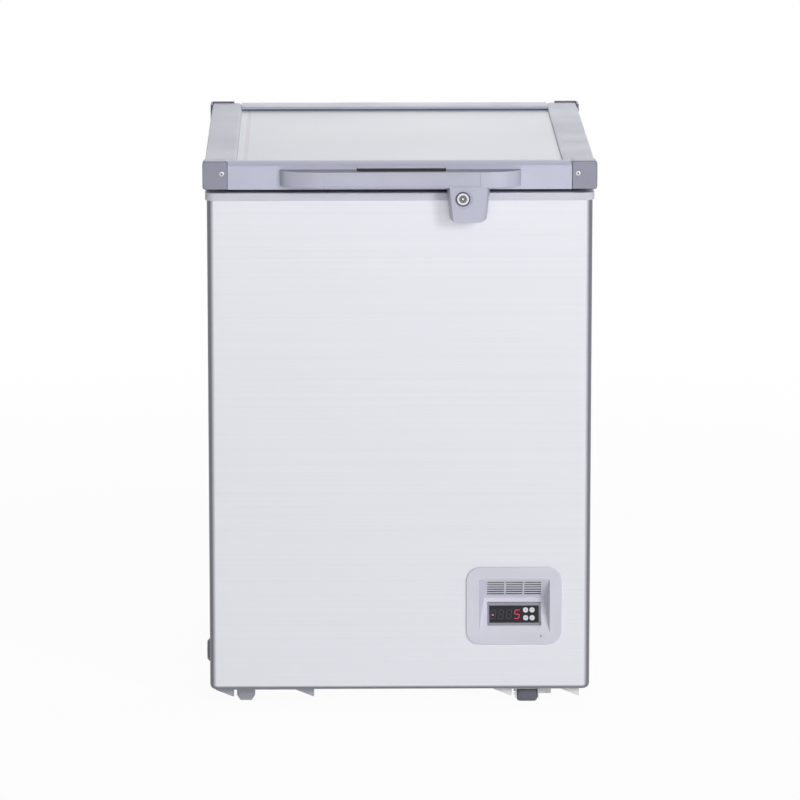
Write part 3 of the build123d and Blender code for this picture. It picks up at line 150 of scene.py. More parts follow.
def facet_joiner():
    """Modifier group: joins loose facets, then smooths each edge that folds less than fold_angle."""
    group, source, out = open_group("facet_joiner", "GeometryNodeTree",
                                    {"Geometry": ("NodeSocketGeometry", None)},
                                    {"Geometry": "NodeSocketGeometry"})
    group.is_modifier = True
    welded = add(group, "GeometryNodeMergeByDistance", {"Geometry": source[0], "Distance": weld_distance})
    angle = add(group, "GeometryNodeInputMeshEdgeAngle")
    gentle = add(group, "FunctionNodeCompare", {0: angle.outputs["Unsigned Angle"], 1: fold_angle},
                 operation="LESS_THAN")
    faces = add(group, "GeometryNodeSetShadeSmooth", {"Geometry": welded.outputs[0]}, domain="FACE")
    edges = add(group, "GeometryNodeSetShadeSmooth",
                {"Geometry": faces.outputs[0], "Shade Smooth": gentle.outputs[0]}, domain="EDGE")
    group.links.new(edges.outputs[0], out.inputs[0])
    return group


def edge_softener():
    """Shader group: a normal that rounds sharp edges, and a mask of where those edges are."""
    group, source, out = open_group("edge_softener", "ShaderNodeTree",
                                    {"Radius": ("NodeSocketFloat", edge_radius)},
                                    {"Normal": "NodeSocketVector", "Edge": "NodeSocketFloat"})
    bevel = add(group, "ShaderNodeBevel", {"Radius": source["Radius"]}, samples=4)
    true = add(group, "ShaderNodeNewGeometry")
    same = reckon_vector(group, "DOT_PRODUCT", bevel.outputs[0], true.outputs["Normal"])
    group.links.new(bevel.outputs[0], out.inputs["Normal"])
    group.links.new(between(group, same, 0.0, 1.0, 0.99, 0.8), out.inputs["Edge"])
    return group


def stretched_grain():
    """Shader group: noise on object coordinates, stretched along the way a surface was rolled or brushed."""
    group, source, out = open_group("stretched_grain", "ShaderNodeTree",
                                    {"Stretch": ("NodeSocketVector", (1, 1, 1)),
                                     "Detail": ("NodeSocketFloat", 3.0)},
                                    {"Grain": "NodeSocketFloat"})
    scaled = reckon_vector(group, "MULTIPLY", place_in(group), source["Stretch"])
    noise = add(group, "ShaderNodeTexNoise", {"Vector": scaled, "Scale": 1.0, "Detail": source["Detail"],
                                             "Roughness": 0.6})
    group.links.new(noise.outputs["Fac"], out.inputs["Grain"])
    return group


joiner = facet_joiner()
softener = edge_softener()
grain_maker = stretched_grain()


def grain(tree, stretch, detail=3.0):
    """The grain's value at this point of the surface."""
    stretch = (stretch,) * 3 if isinstance(stretch, (int, float)) else stretch
    values = {"Stretch": stretch, "Detail": detail}
    return add(tree, "ShaderNodeGroup", values, node_tree=grain_maker).outputs[0]


def soft_edges(tree, radius=edge_radius):
    """The softener's normal and its mask of edges, for one radius."""
    return add(tree, "ShaderNodeGroup", {"Radius": radius}, node_tree=softener).outputs


def open_finish(name, rough, metal=0.0, **sockets):
    """A material with its shader and output, ready for the colour, roughness and normal of a finish."""
    material = bpy.data.materials.new(name)
    material.use_nodes = True
    tree = material.node_tree
    tree.nodes.clear()
    shader = add(tree, "ShaderNodeBsdfPrincipled", {"Roughness": rough, "Metallic": metal, **sockets})
    add(tree, "ShaderNodeOutputMaterial", {"Surface": shader.outputs[0]})
    return material, tree, shader


def close_finish(tree, shader, colour, rough, height, depth, soft):
    """Links colour and roughness, and a normal with soft edges and a relief of some height and depth."""
    bump = add(tree, "ShaderNodeBump", {"Height": height, "Distance": depth, "Strength": 1.0,
                                        "Normal": soft["Normal"]})
    tree.links.new(colour, shader.inputs["Base Color"])
    tree.links.new(rough, shader.inputs["Roughness"])
    tree.links.new(bump.outputs[0], shader.inputs["Normal"])


def brushed_sheet():
    """Fine level lines over faint streaks; painted shade darkens the upright folds and the lower fold."""
    material, tree, shader = open_finish("brushed_sheet", rough=0.4, metal=0.35, **{"Anisotropic": 0.4})
    fine = grain(tree, sheet_grain, 2.0)
    broad = grain(tree, sheet_streak, 4.0)
    colour = shaded(tree, sheet_colour, tinted(sheet_colour, 0.96), between(tree, fine))
    colour = shaded(tree, colour, tinted(sheet_colour, 1.04), between(tree, broad, 0.0, 0.3))
    # Painted shade: darker where the sheet turns sideways at the upright folds and faces down at the lower
    # fold.
    lean = reckon(tree, "ABSOLUTE", facing(tree, 0))
    fold = product(tree, between(tree, lean, 0.0, fold_shade_strength, *fold_shade_begins),
                   between(tree, lean, 1.0, 0.0, *fold_shade_ends))
    colour = shaded(tree, colour, fold_shade_colour, fold)
    colour = shaded(tree, colour, fold_shade_colour,
                    between(tree, facing(tree, 2), fold_shade_strength, 0.0, *lower_fold_shade))
    rough = between(tree, fine, 0.3, 0.38)
    close_finish(tree, shader, colour, rough, fine, 0.006 * mm, soft_edges(tree, 0.5 * mm))
    return material


def dress(node_names, material):
    """Gives CAD solids a finish, joined facets and even normals."""
    for name in node_names:
        solid = nodes[name]
        solid.data.materials.clear()
        solid.data.materials.append(material)
        solid.modifiers.new("joined", "NODES").node_group = joiner
        even = solid.modifiers.new("even", "WEIGHTED_NORMAL")
        even.keep_sharp = True
        even.weight = 90


dress(["outer_wrap"], brushed_sheet())

# Rear panel, base pan, machine cover and fan plate: plain galvanised sheet, screwed and spot welded.
# The zinc shows as a mosaic of dull crystals, each a little lighter or darker than the next.
zinc_colour = (0.5, 0.52, 0.55)
zinc_crystals = 130.0
zinc_mottling = 260.0


def galvanised():
    """Random crystals, each with its own tone, under a fine mottling."""
    material, tree, shader = open_finish("galvanised", rough=0.45, metal=0.7)
    crystals = add(tree, "ShaderNodeTexVoronoi", {"Vector": place_in(tree), "Scale": zinc_crystals})
    tone = add(tree, "ShaderNodeSeparateColor", {0: crystals.outputs["Color"]}).outputs[0]
    fine = grain(tree, zinc_mottling)
    colour = shaded(tree, tinted(zinc_colour, 0.84), tinted(zinc_colour, 1.16), tone)
    colour = shaded(tree, colour, tinted(zinc_colour, 0.7), between(tree, fine, 0.0, 0.4))
    rough = between(tree, tone, 0.34, 0.56, 0.0, 1.0)
    close_finish(tree, shader, colour, rough, fine, 0.01 * mm, soft_edges(tree, 0.5 * mm))
    return material


dress(["rear_panel", "base_pan", "machine_cover", "fan_shroud"], galvanised())

# Liner: the stepped tank, bent and seamed from aluminium sheet that is embossed like orange peel,
# so that frost and scratches show less. The lid's inner panel meets it with the gasket between.
liner_colour = (0.78, 0.79, 0.81)
emboss_scale = 240.0
emboss_depth = 0.25 * mm


def embossed_sheet():
    """Rounded pimples from the distance to scattered points."""
    material, tree, shader = open_finish("embossed_sheet", rough=0.42, metal=0.55)
    pimples = add(tree, "ShaderNodeTexVoronoi", {"Vector": place_in(tree), "Scale": emboss_scale},
                  feature="SMOOTH_F1")
    height = pimples.outputs["Distance"]
    colour = shaded(tree, liner_colour, tinted(liner_colour, 0.86),
                    between(tree, height, 0.0, 1.0, 0.2, 0.7))
    rough = between(tree, grain(tree, 30.0), 0.36, 0.5)
    close_finish(tree, shader, colour, rough, height, emboss_depth, soft_edges(tree, 1.0 * mm))
    return material


dress(["liner"], embossed_sheet())

# Foam: rigid polyurethane that is poured between the wrap and the liner and into the lid.
# It is closed in on every side; where it meets a sheet it has a smooth, slightly mottled skin.
foam_colour = (0.78, 0.7, 0.48)
foam_cells = 420.0


def foam_skin():
    """Cells of a few millimetres, with darker walls between them."""
    material, tree, shader = open_finish("foam_skin", rough=0.8)
    cells = add(tree, "ShaderNodeTexVoronoi", {"Vector": place_in(tree), "Scale": foam_cells},
                feature="DISTANCE_TO_EDGE")
    height = cells.outputs["Distance"]
    colour = shaded(tree, foam_colour, tinted(foam_colour, 0.72),
                    between(tree, height, 1.0, 0.0, 0.0, 0.2))
    rough = between(tree, grain(tree, 60.0), 0.7, 0.9)
    close_finish(tree, shader, colour, rough, height, 0.2 * mm, soft_edges(tree, 0.8 * mm))
    return material


dress(["cabinet_foam", "lid_foam"], foam_skin())

# Collar, control bezel and drain plug: injection moulded plastic, pale silver grey but for the plug.
# The mould is spark eroded, so its faces are finely grained, and its edges are painted a little paler: a
# painted highlight.
# The bezel's air slots are painted black inside as shade: they lie behind the grille's wall, which slopes
# from a crease.
collar_colour = (0.69, 0.695, 0.78)
plug_colour = (0.2, 0.2, 0.24)
black_colour = (0.03, 0.03, 0.035)
moulding_grain = 1500.0
moulding_relief = 0.02 * mm
flow_marks = (9.0, 9.0, 14.0)
crease = (-260.0 * mm, 161.8 * mm)
grille_slope = (0.812, 0.587)
slot_depth = 0.25 * mm
slot_edge = 0.05 * mm
grille_across = (122.0 * mm, 210.0 * mm)
grille_up = (163.0 * mm, 196.0 * mm)


def mottled(tree, colour, fine, flow):
    """Moulded plastic's colour, with broad faint flow marks and small darker specks."""
    tone = shaded(tree, tinted(colour, 0.95), tinted(colour, 1.05), between(tree, flow))
    return shaded(tree, tone, tinted(colour, 0.9), between(tree, fine, 0.0, 0.5))


def moulded(name, colour, rough, scale=moulding_grain, depth=moulding_relief, metal=0.0,
            radius=edge_radius, **sockets):
    """Fine spark-eroded grain, faint flow mottling, and edges painted paler as a highlight."""
    material, tree, shader = open_finish(name, rough, metal, **sockets)
    fine = grain(tree, scale, 1.0)
    flow = grain(tree, flow_marks, 4.0)
    soft = soft_edges(tree, radius)
    # Painted highlight: the edges are a little paler.
    tone = shaded(tree, mottled(tree, colour, fine, flow), tinted(colour, 1.12),
                  between(tree, soft["Edge"], 0.0, 0.5, 0.0, 1.0))
    close_finish(tree, shader, tone, between(tree, flow, rough - 0.05, rough + 0.06), fine, depth, soft)
    return material


def bezel_moulding():
    """The collar's plastic with painted shade in the grille's openings, found by their depth = slope . (place
    - crease).
    """
    material, tree, shader = open_finish("bezel_moulding", rough=0.42)
    fine = grain(tree, moulding_grain, 1.0)
    flow = grain(tree, flow_marks, 4.0)
    place = place_in(tree)
    behind = reckon_vector(tree, "SUBTRACT", place, (0.0, *crease))
    depth = reckon_vector(tree, "DOT_PRODUCT", behind, (0.0, *grille_slope))
    # Painted shade: black inside the slots, behind the crease and within the grille.
    slots = product(tree, between(tree, depth, 0.0, 1.0, slot_depth, 2 * slot_depth),
                    inside(tree, axes_of(tree, place)[0], grille_across, slot_edge),
                    inside(tree, axes_of(tree, place)[2], grille_up, slot_edge))
    tone = shaded(tree, mottled(tree, collar_colour, fine, flow), black_colour, slots)
    close_finish(tree, shader, tone, between(tree, flow, 0.37, 0.48), fine, moulding_relief,
                 soft_edges(tree))
    return material


dress(["collar"], moulded("pale_moulding", tinted(collar_colour, 0.96), rough=0.42))
dress(["control_bezel"], bezel_moulding())
dress(["drain_plug"], moulded("plug_plastic", plug_colour, rough=0.45))

# Refrigerant circuit: copper tube, flattened where it is wound round the liner and round elsewhere.
# Drawn copper dulls in the air to uneven browns, with darker stains from the heat of brazing.
copper_colour = (0.72, 0.38, 0.22)
heat_stain = (0.3, 0.13, 0.07)
copper_lines = (300.0, 300.0, 40.0)


def drawn_metal(name, colour, stain, rough, stretch, scale=25.0):
    """Draw lines along the tube, under blotches of stain."""
    material, tree, shader = open_finish(name, rough, metal=1.0)
    lines = grain(tree, stretch, 2.0)
    blotch = grain(tree, scale, 5.0)
    tone = shaded(tree, colour, stain, between(tree, blotch, 0.0, 0.8, 0.4, 0.7))
    tone = shaded(tree, tone, tinted(colour, 1.15), between(tree, lines, 0.0, 0.35))
    close_finish(tree, shader, tone, between(tree, blotch, rough - 0.08, rough + 0.15), lines, 0.01 * mm,
                 soft_edges(tree, 0.4 * mm))
    return material


dress(["evaporator_coil", "refrigerant_pipes", "filter_drier"],
      drawn_metal("drawn_copper", copper_colour, heat_stain, rough=0.32, stretch=copper_lines))

# Drain: a grey plastic pipe from the tank's floor to the dark plug low on the left side.
# The pipe's finish is a little coarser than the mouldings'.
drain_colour = (0.62, 0.62, 0.63)
dress(["drain_pipe"], moulded("drain_tube", drain_colour, rough=0.4, scale=700.0, depth=0.03 * mm))

# Feet and rollers: moulded nylon, mid grey for the feet and nearly black for the rollers.
# Their brackets are folded sheet, bluish grey at the feet and pale at the rollers, held by hexagon heads.
foot_colour = (0.52, 0.52, 0.58)
roller_colour = (0.15, 0.15, 0.185)
bracket_colour = (0.35, 0.38, 0.43)
bracket_chip = (0.4, 0.41, 0.45)
roller_bracket_colour = (0.8, 0.8, 0.82)
roller_bracket_chip = (0.5, 0.5, 0.52)
plate_colour = (0.72, 0.73, 0.76)
plate_stain = (0.42, 0.42, 0.45)
nylon_grain = 900.0
nylon_relief = 0.05 * mm


def painted(name, colour, rough, chip):
    """Orange peel in the enamel, and edges where it has worn thin."""
    material, tree, shader = open_finish(name, rough, **{"Coat Weight": 0.3, "Coat Roughness": 0.2})
    peel = grain(tree, 420.0, 1.0)
    cloud = grain(tree, 22.0, 4.0)
    soft = soft_edges(tree)
    tone = shaded(tree, tinted(colour, 0.85), tinted(colour, 1.25), between(tree, cloud))
    tone = shaded(tree, tone, chip, product(tree, soft["Edge"], between(tree, cloud)))
    close_finish(tree, shader, tone, between(tree, cloud, rough - 0.06, rough + 0.1), peel, 0.05 * mm, soft)
    return material


dress(["foot_front", "foot_rear"],
      moulded("foot_nylon", foot_colour, rough=0.5, scale=nylon_grain, depth=nylon_relief))
dress(["roller_front", "roller_rear"],
      moulded("roller_nylon", roller_colour, rough=0.5, scale=nylon_grain, depth=nylon_relief))
dress(["foot_brackets"], painted("bracket_enamel", bracket_colour, rough=0.42, chip=bracket_chip))
dress(["roller_bracket_front", "roller_bracket_rear"],
      painted("roller_enamel", roller_bracket_colour, rough=0.42, chip=roller_bracket_chip))
plated = drawn_metal("plated_steel", plate_colour, plate_stain, rough=0.28, stretch=500.0, scale=60.0)
dress(["bracket_bolts", "roller_axles"], plated)

# Compressor: two pressed steel shells welded round the middle, in black enamel, on rubber grommets.
# A moulded black cover hides its terminals and relay. The pump inside hangs on springs, unseen.
shell_black = (0.018, 0.018, 0.02)
shell_chip = (0.2, 0.2, 0.21)
grommet_black = (0.025, 0.025, 0.028)
dress(["compressor"], painted("compressor_enamel", shell_black, rough=0.3, chip=shell_chip))
dress(["compressor_grommets"],
      moulded("grommet_rubber", grommet_black, rough=0.7, scale=500.0, depth=0.08 * mm))
black_moulding_and_hole_shade = moulded("black_moulding_and_hole_shade", black_colour, rough=0.45, scale=900.0, depth=0.04 * mm)
dress(["terminal_cover", "fan_motor", "mains_gland"], black_moulding_and_hole_shade)

# Condenser and fan: enamelled steel fins on flattened tube, with a white moulded fan behind.
# The fan moves air through the fins and the machine's room.
fin_colour = (0.09, 0.09, 0.1)
fin_chip = (0.3, 0.3, 0.31)
fan_colour = (0.72, 0.73, 0.74)
dress(["condenser"], painted("fin_enamel", fin_colour, rough=0.5, chip=fin_chip))
dress(["fan_blade"], moulded("fan_plastic", fan_colour, rough=0.4, scale=900.0, depth=0.03 * mm))

# Controller: a panel thermostat whose grey case holds a dark tinted window in a sunk frame.
# Behind the window are four digits of seven bars each, of which only the last one is lit,
# and three small round lamps, of which only the lowest one is lit.
window_colour = (0.012, 0.012, 0.018)
case_colour = (0.32, 0.31, 0.38)
ghost_colour = (0.05, 0.05, 0.066)
digit_colour = (0.85, 0.035, 0.13)
lamp_colour = (1.0, 0.25, 0.2)
window_grain = 2500.0
window_relief = 0.002 * mm
digit_height = 12.5 * mm
digit_width = 6.8 * mm
bar_width = 0.8 * mm
bar_gap = 0.35 * bar_width
digit_slant = 0.14
digit_step = 11.6 * mm
digit_last = 4.4 * mm
digit_middle = 29.7 * mm
lamps_across = -30.8 * mm
lamp_rise = 28.4 * mm
unlit_rises = (36.0 * mm, 32.4 * mm)
lamp_size = 0.9 * mm
unlit_size = 0.63 * mm
hole_radius = 0.9 * mm
hole_share = (0.783, 0.107)
print_lift = 0.04 * mm
facet_origin = np.array((166.3, -285.0, 114.0)) * mm
facet_across = np.array((1.0, 0.0, 0.0))
facet_rise = np.array((0.0, 25.0, 47.8)) / math.hypot(25.0, 47.8)
facet_out = np.cross(facet_across, facet_rise)
lens_level = -3.0 * mm


def on_facet(points, lift):
    """Points on the sloping front, set off along its normal: origin + u across + v up + lift out."""
    points = np.asarray(points, float)
    return (facet_origin + points[:, :1] * facet_across + points[:, 1:2] * facet_rise
            + (lens_level + lift) * facet_out)


def on_front(face):
    """A way to place points on an upright plane that looks forward: x = u, y = face - lift, z = v."""
    def place(points, lift):
        points = np.asarray(points, float)
        return np.stack([points[:, 0], np.full(len(points), face - lift), points[:, 1]], 1)
    return place


def new_piece(name, vertices, faces, material, body, smooth=False):
    """A mesh piece at the origin that rides on one body and has one material slot."""
    mesh = bpy.data.meshes.new(name)
    mesh.from_pydata([tuple(v) for v in vertices], [], [tuple(int(i) for i in f) for f in faces])
    mesh.polygons.foreach_set("use_smooth", [smooth] * len(mesh.polygons))
    mesh.materials.append(material)
    piece = bpy.data.objects.new(name, mesh)
    bpy.context.scene.collection.objects.link(piece)
    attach(piece, body)
    return piece


def bars(centre, lit):
    """Outlines of the chosen bars of a slanted seven-bar digit: hexagons turned level or upright."""
    half = (digit_width / 2, digit_height / 2)
    layout = {"a": (0, 1, 0), "b": (1, 0.5, 1), "c": (1, -0.5, 1), "d": (0, -1, 0), "e": (-1, -0.5, 1),
              "f": (-1, 0.5, 1), "g": (0, 0, 0)}
    made = []
    for key in lit:
        x, y, upright = layout[key]
        reach = (half[1] / 2 if upright else half[0]) - bar_gap
        wide = bar_width / 2
        shape = np.array([(-reach, 0), (-reach + wide, -wide), (reach - wide, -wide), (reach, 0),
                          (reach - wide, wide), (-reach + wide, wide)])
        shape = shape[::-1, ::-1] if upright else shape
        shape = shape + (x * half[0], y * half[1])
        shape[:, 0] += digit_slant * shape[:, 1]
        made.append(shape + centre)
    return made


def printed(name, outlines, lift, material, body, plane=on_facet):
    """Flat outlines, each fanned into one face, laid on a surface."""
    vertices = np.concatenate([plane(outline, lift) for outline in outlines])
    starts = np.cumsum([0] + [len(outline) for outline in outlines])
    faces = [tuple(range(a, b)) for a, b in zip(starts[:-1], starts[1:])]
    return new_piece(name, vertices, faces, material, body)


def disc(centre, radius, count=24):
    """Points at even angles on a circle."""
    turn = np.arange(count) * 2 * math.pi / count
    return np.stack([centre[0] + radius * np.cos(turn), centre[1] + radius * np.sin(turn)], 1)


def glowing(name, colour, strength):
    """A lit surface, slightly uneven in its glow."""
    material, tree, shader = open_finish(name, rough=0.4, **{"Emission Strength": strength})
    tone = shaded(tree, colour, tinted(colour, 0.8), between(tree, grain(tree, 1800.0)))
    tree.links.new(tone, shader.inputs["Base Color"])
    tree.links.new(tone, shader.inputs["Emission Color"])
    return material


tinted_window = moulded("tinted_window", window_colour, rough=0.16, scale=window_grain,
                        depth=window_relief, **{"Specular IOR Level": 0.3, "Coat Weight": 0.15})
case_moulding = moulded("case_moulding", case_colour, rough=0.4)
dress(["controller_lens"], tinted_window)
dress(["controller"], case_moulding)
digit_red = glowing("digit_red", digit_colour, strength=0.9)
lamp_red = glowing("lamp_red", lamp_colour, strength=1.1)
ghost_grey = moulded("ghost_grey", ghost_colour, rough=0.3, scale=window_grain, depth=window_relief)
last_digit = np.array((digit_last, digit_middle))
bezel_low, bezel_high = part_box("control_bezel")
hole_at = (bezel_low.x + hole_share[0] * (bezel_high.x - bezel_low.x),
           bezel_low.z + hole_share[1] * (bezel_high.z - bezel_low.z))
# Painted shade: a black disc on the bezel's front stands for the inside of a small hole.
printed("bezel_hole_shade", [disc(hole_at, hole_radius)], print_lift, black_moulding_and_hole_shade, "cabinet",
        on_front(bezel_low.y))
printed("digit_lit", bars(last_digit, "afgcd"), print_lift, digit_red, "cabinet")
ghosts = [outline for i in (1, 2, 3) for outline in bars(last_digit - (i * digit_step, 0), "abcdefg")]
printed("digits_unlit", ghosts, print_lift, ghost_grey, "cabinet")
printed("lamp_lit", [disc((lamps_across, lamp_rise), lamp_size)], print_lift, lamp_red, "cabinet")
unlit = [disc((lamps_across, rise), unlit_size) for rise in unlit_rises]
printed("lamps_unlit", unlit, print_lift, ghost_grey, "cabinet")

# Push buttons: four white keys that stand out through round holes in the window.
# Each carries one small dark sign: raise, set, lower and light.
key_colour = (0.82, 0.83, 0.86)
sign_colour = (0.05, 0.05, 0.07)
key_top = 0.94 * mm
key_places = {"up": (17.0, 36.0), "set": (26.4, 36.0), "down": (17.0, 24.2), "light": (26.4, 24.2)}
sign_size = 1.15 * mm


def key_sign(kind, centre):
    """A triangle up or down, or a disc, or a slanting bar, about one key's centre."""
    triangle = np.array([(-1.0, -0.7), (1.0, -0.7), (0.0, 1.0)]) * sign_size
    if kind == "up":
        return [triangle + centre]
    if kind == "down":
        return [(triangle * (1, -1))[::-1] + centre]
    if kind == "set":
        return [disc(centre, 0.62 * sign_size)]
    bar = np.array([(-1.0, -0.3), (1.0, -0.3), (1.0, 0.3), (-1.0, 0.3)]) * sign_size
    turn = np.array([(0.7, 0.7), (-0.7, 0.7)])
    return [bar @ turn + centre]


dress(["button_" + kind for kind in key_places],
      moulded("key_plastic", key_colour, rough=0.3, scale=1800.0, depth=0.01 * mm))
sign_print = moulded("sign_print", sign_colour, rough=0.4, scale=window_grain, depth=window_relief)
for kind, place in key_places.items():
    centre = np.array(place) * mm
    printed("sign_" + kind, key_sign(kind, centre), key_top, sign_print, "key_" + kind)

# Lid frame: extruded rails in silver grey, joined at the corners by darker moulded caps.
# The plastic holds a little metal powder, so broad faces shimmer softly and turn bluish.
rail_colour = (0.51, 0.525, 0.64)
cap_colour = (0.3, 0.3, 0.38)
rail_grain = 1900.0
rail_relief = 0.012 * mm


def silver_rail(name, colour, rough=0.36):
    """The rails' plastic, with a little metal powder in it."""
    return moulded(name, colour, rough, rail_grain, rail_relief, metal=0.25, radius=0.8 * mm)


def cap_moulding(name, colour):
    """One plastic painted by facing: dark in front, with painted shade on the rounded rim and painted light
    on top and at the side, as pale as the rails.
    """
    material, tree, shader = open_finish(name, rough=0.4, metal=0.1)
    fine = grain(tree, rail_grain, 1.0)
    lean = reckon(tree, "ABSOLUTE", facing(tree, 1))
    # Painted shade on the rounded rim, and painted light on the top and the side.
    tone = shaded(tree, tinted(colour, 0.4), colour, between(tree, lean, 0.0, 1.0, 0.93, 0.99))
    tone = shaded(tree, tone, rail_colour, between(tree, lean, 1.0, 0.0, 0.02, 0.3))
    tone = shaded(tree, tone, tinted(colour, 0.8), between(tree, fine, 0.0, 0.4))
    close_finish(tree, shader, tone, between(tree, fine, 0.36, 0.46), fine, rail_relief, soft_edges(tree))
    return material


dress(["lid_rail_front", "lid_rail_rear"], silver_rail("rail_plastic", rail_colour))
# Painted shade: the side rails, seen from above, are a quarter darker than the front and rear rails.
dress(["lid_rail_left", "lid_rail_right"], silver_rail("side_rail_shaded_plastic", tinted(rail_colour, 0.75)))
dress(["cap_front_left", "cap_front_right"], cap_moulding("cap_plastic", cap_colour))
dress(["cap_rear_left", "cap_rear_right"],
      silver_rail("cap_rear_plastic", tinted(cap_colour, 0.5), rough=0.38))

# Screws: small domed heads with a cross recess, bright plated, in the caps and on the rear.
# The head's height is a dome less a cross-shaped pit: h(r, t) = dome(r) - pit where |x| or |y| is small.
# The middle of each head is darker.
screw_radius = 3.5 * mm
screw_dome = 1.2 * mm
dome_power = 2.6
recess_reach = 2.1 * mm
recess_width = 0.62 * mm
recess_depth = 0.8 * mm
rings = 14
spokes = 40
dark_rings = 5
panel_sheet = 0.8 * mm
leaf_sheet = 2.0 * mm
rear_pitch = 150.0 * mm
leaf_across = 170.0 * mm
leaf_shift = 11.0 * mm
leaf_height = 721.0 * mm
head_middle_colour = (0.05, 0.05, 0.06)
screw_middle_dark = moulded("screw_middle_dark", head_middle_colour, rough=0.5, scale=900.0, depth=0.02 * mm)


def screw_head(centre, out):
    """A polar grid of heights over the seat: r from 0 to the rim, t all round."""
    r = np.linspace(0.0, 1.0, rings)[:, None] * screw_radius
    t = np.arange(spokes)[None, :] * 2 * math.pi / spokes
    x, y = r * np.cos(t), r * np.sin(t)
    dome = screw_dome * np.sqrt(np.clip(1 - (r / screw_radius) ** dome_power, 0, 1)) + 0 * t
    near, far = np.minimum(np.abs(x), np.abs(y)), np.maximum(np.abs(x), np.abs(y))
    height = dome - recess_depth * ((near < recess_width) & (far < recess_reach))
    side = np.cross((0.0, 0.0, 1.0), out)
    grid = (np.asarray(centre) + x[..., None] * side + y[..., None] * np.array((0.0, 0.0, 1.0))
            + height[..., None] * np.asarray(out))
    index = np.arange(rings * spokes).reshape(rings, spokes)
    after = np.roll(index, -1, 1)
    faces = np.stack([index[:-1], index[1:], after[1:], after[:-1]], -1).reshape(-1, 4)
    return grid.reshape(-1, 3), faces


def screw_set(name, places, body, replaced):
    """All of one body's screws in one piece."""
    vertices, faces, count = [], [], 0
    for centre, out in places:
        grid, quads = screw_head(centre, out)
        vertices.append(grid)
        faces.append(quads + count)
        count += len(grid)
    piece = new_piece(name, np.concatenate(vertices), np.concatenate(faces), plated, body,
                      True)
    piece.data.materials.append(screw_middle_dark)
    ring = np.tile(np.repeat(np.arange(rings - 1), spokes), len(places))
    piece.data.polygons.foreach_set("material_index", (ring < dark_rings).astype(np.int32))
    weld = piece.modifiers.new("weld", "WELD")
    weld.merge_threshold = 0.02 * mm
    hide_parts(replaced)
    return piece


cap_low, cap_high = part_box("cap_screws")
screw_x = cap_high.x - screw_radius
screw_z = (cap_low.z + cap_high.z) / 2
cap_faces = ((cap_low.y + screw_dome, -1.0), (cap_high.y - screw_dome, 1.0))
cap_places = [((side * screw_x, y, screw_z), (0.0, out, 0.0)) for side in (-1, 1) for y, out in cap_faces]
screw_set("cap_screw_heads", cap_places, "lid", "cap_screws")

rear_low, rear_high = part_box("rear_screws")
panel_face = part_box("outer_wrap")[1].y + panel_sheet
leaf_face = panel_face + leaf_sheet
rear_x = rear_high.x - screw_radius
rear_z = rear_low.z + screw_radius
rear_places = []
for side in (-1, 1):
    rear_places += [((side * rear_x, panel_face, rear_z + i * rear_pitch), (0.0, 1.0, 0.0)) for i in range(5)]
    rear_places += [((side * leaf_across + shift, leaf_face, leaf_height), (0.0, 1.0, 0.0))
                    for shift in (-leaf_shift, leaf_shift)]
screw_set("rear_screw_heads", rear_places, "cabinet", "rear_screws")

# Lid panel: pale laminated sheet between the rails, printed with a fine grid of dots.
# A narrow warmer stripe runs beside the left rail, where the print ends,
# and a dark strip on the rear rail, along its joint with the panel, is painted shadow.
panel_colour = (0.6, 0.615, 0.71)
dot_colour = (0.55, 0.565, 0.66)
stripe_colour = (0.5, 0.46, 0.56)
rubber_and_shadow_colour = (0.06, 0.058, 0.08)
dot_pitch = 3.4 * mm
dot_size = 0.3
stripe_places = (-224.4 * mm, -218.6 * mm)
stripe_edge = 0.3 * mm
joint_shadow_height = 1.7 * mm


def dotted_sheet():
    """A dot wherever both coordinates, counted in pitches, are midway between whole numbers."""
    material, tree, shader = open_finish("dotted_sheet", rough=0.3,
                                         **{"Coat Weight": 0.1, "Coat Roughness": 0.2})
    place = place_in(tree)
    pitches = reckon_vector(tree, "MULTIPLY", place, (1 / dot_pitch, 1 / dot_pitch, 0.0))
    part = reckon_vector(tree, "FRACTION", pitches)
    offset = reckon_vector(tree, "SUBTRACT", part, (0.5, 0.5, 0.0))
    reach = reckon_vector(tree, "LENGTH", offset)
    dot = between(tree, reach, 1.0, 0.0, dot_size * 0.8, dot_size * 1.2)
    stripe = inside(tree, axes_of(tree, place)[0], stripe_places, stripe_edge)
    cloud = grain(tree, 2.5, 1.0)
    tone = shaded(tree, panel_colour, tinted(panel_colour, 0.97), between(tree, cloud, 0.0, 1.0, 0.1, 0.9))
    tone = shaded(tree, tone, dot_colour, dot)
    tone = shaded(tree, tone, stripe_colour, stripe)
    rough = between(tree, cloud, 0.26, 0.36, 0.1, 0.9)
    close_finish(tree, shader, tone, rough, cloud, 0.02 * mm, soft_edges(tree, 0.4 * mm))
    return material


dress(["lid_panel"], dotted_sheet())
# Painted shadow: a dark strip on the rear rail's front, just above the panel.
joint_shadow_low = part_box("lid_panel")[1].z
joint_shadow_left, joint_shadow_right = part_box("lid_rail_left")[1].x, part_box("lid_rail_right")[0].x
joint_shadow = np.array([(joint_shadow_left, joint_shadow_low), (joint_shadow_right, joint_shadow_low), (joint_shadow_right, joint_shadow_low + joint_shadow_height),
                 (joint_shadow_left, joint_shadow_low + joint_shadow_height)])
printed("panel_joint_shadow", [joint_shadow], print_lift, moulded("joint_shadow_paint", rubber_and_shadow_colour, rough=0.6), "lid",
        on_front(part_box("lid_rail_rear")[0].y))

# Lid's inner panel: white sheet, formed over a mould into the insulating plug that fills the mouth.
# It comes off the mould smooth, with only a slight ripple.
inner_colour = (0.76, 0.77, 0.79)
dress(["lid_inner_panel"],
      moulded("formed_sheet", inner_colour, rough=0.3, scale=130.0, depth=0.08 * mm, radius=1.5 * mm))

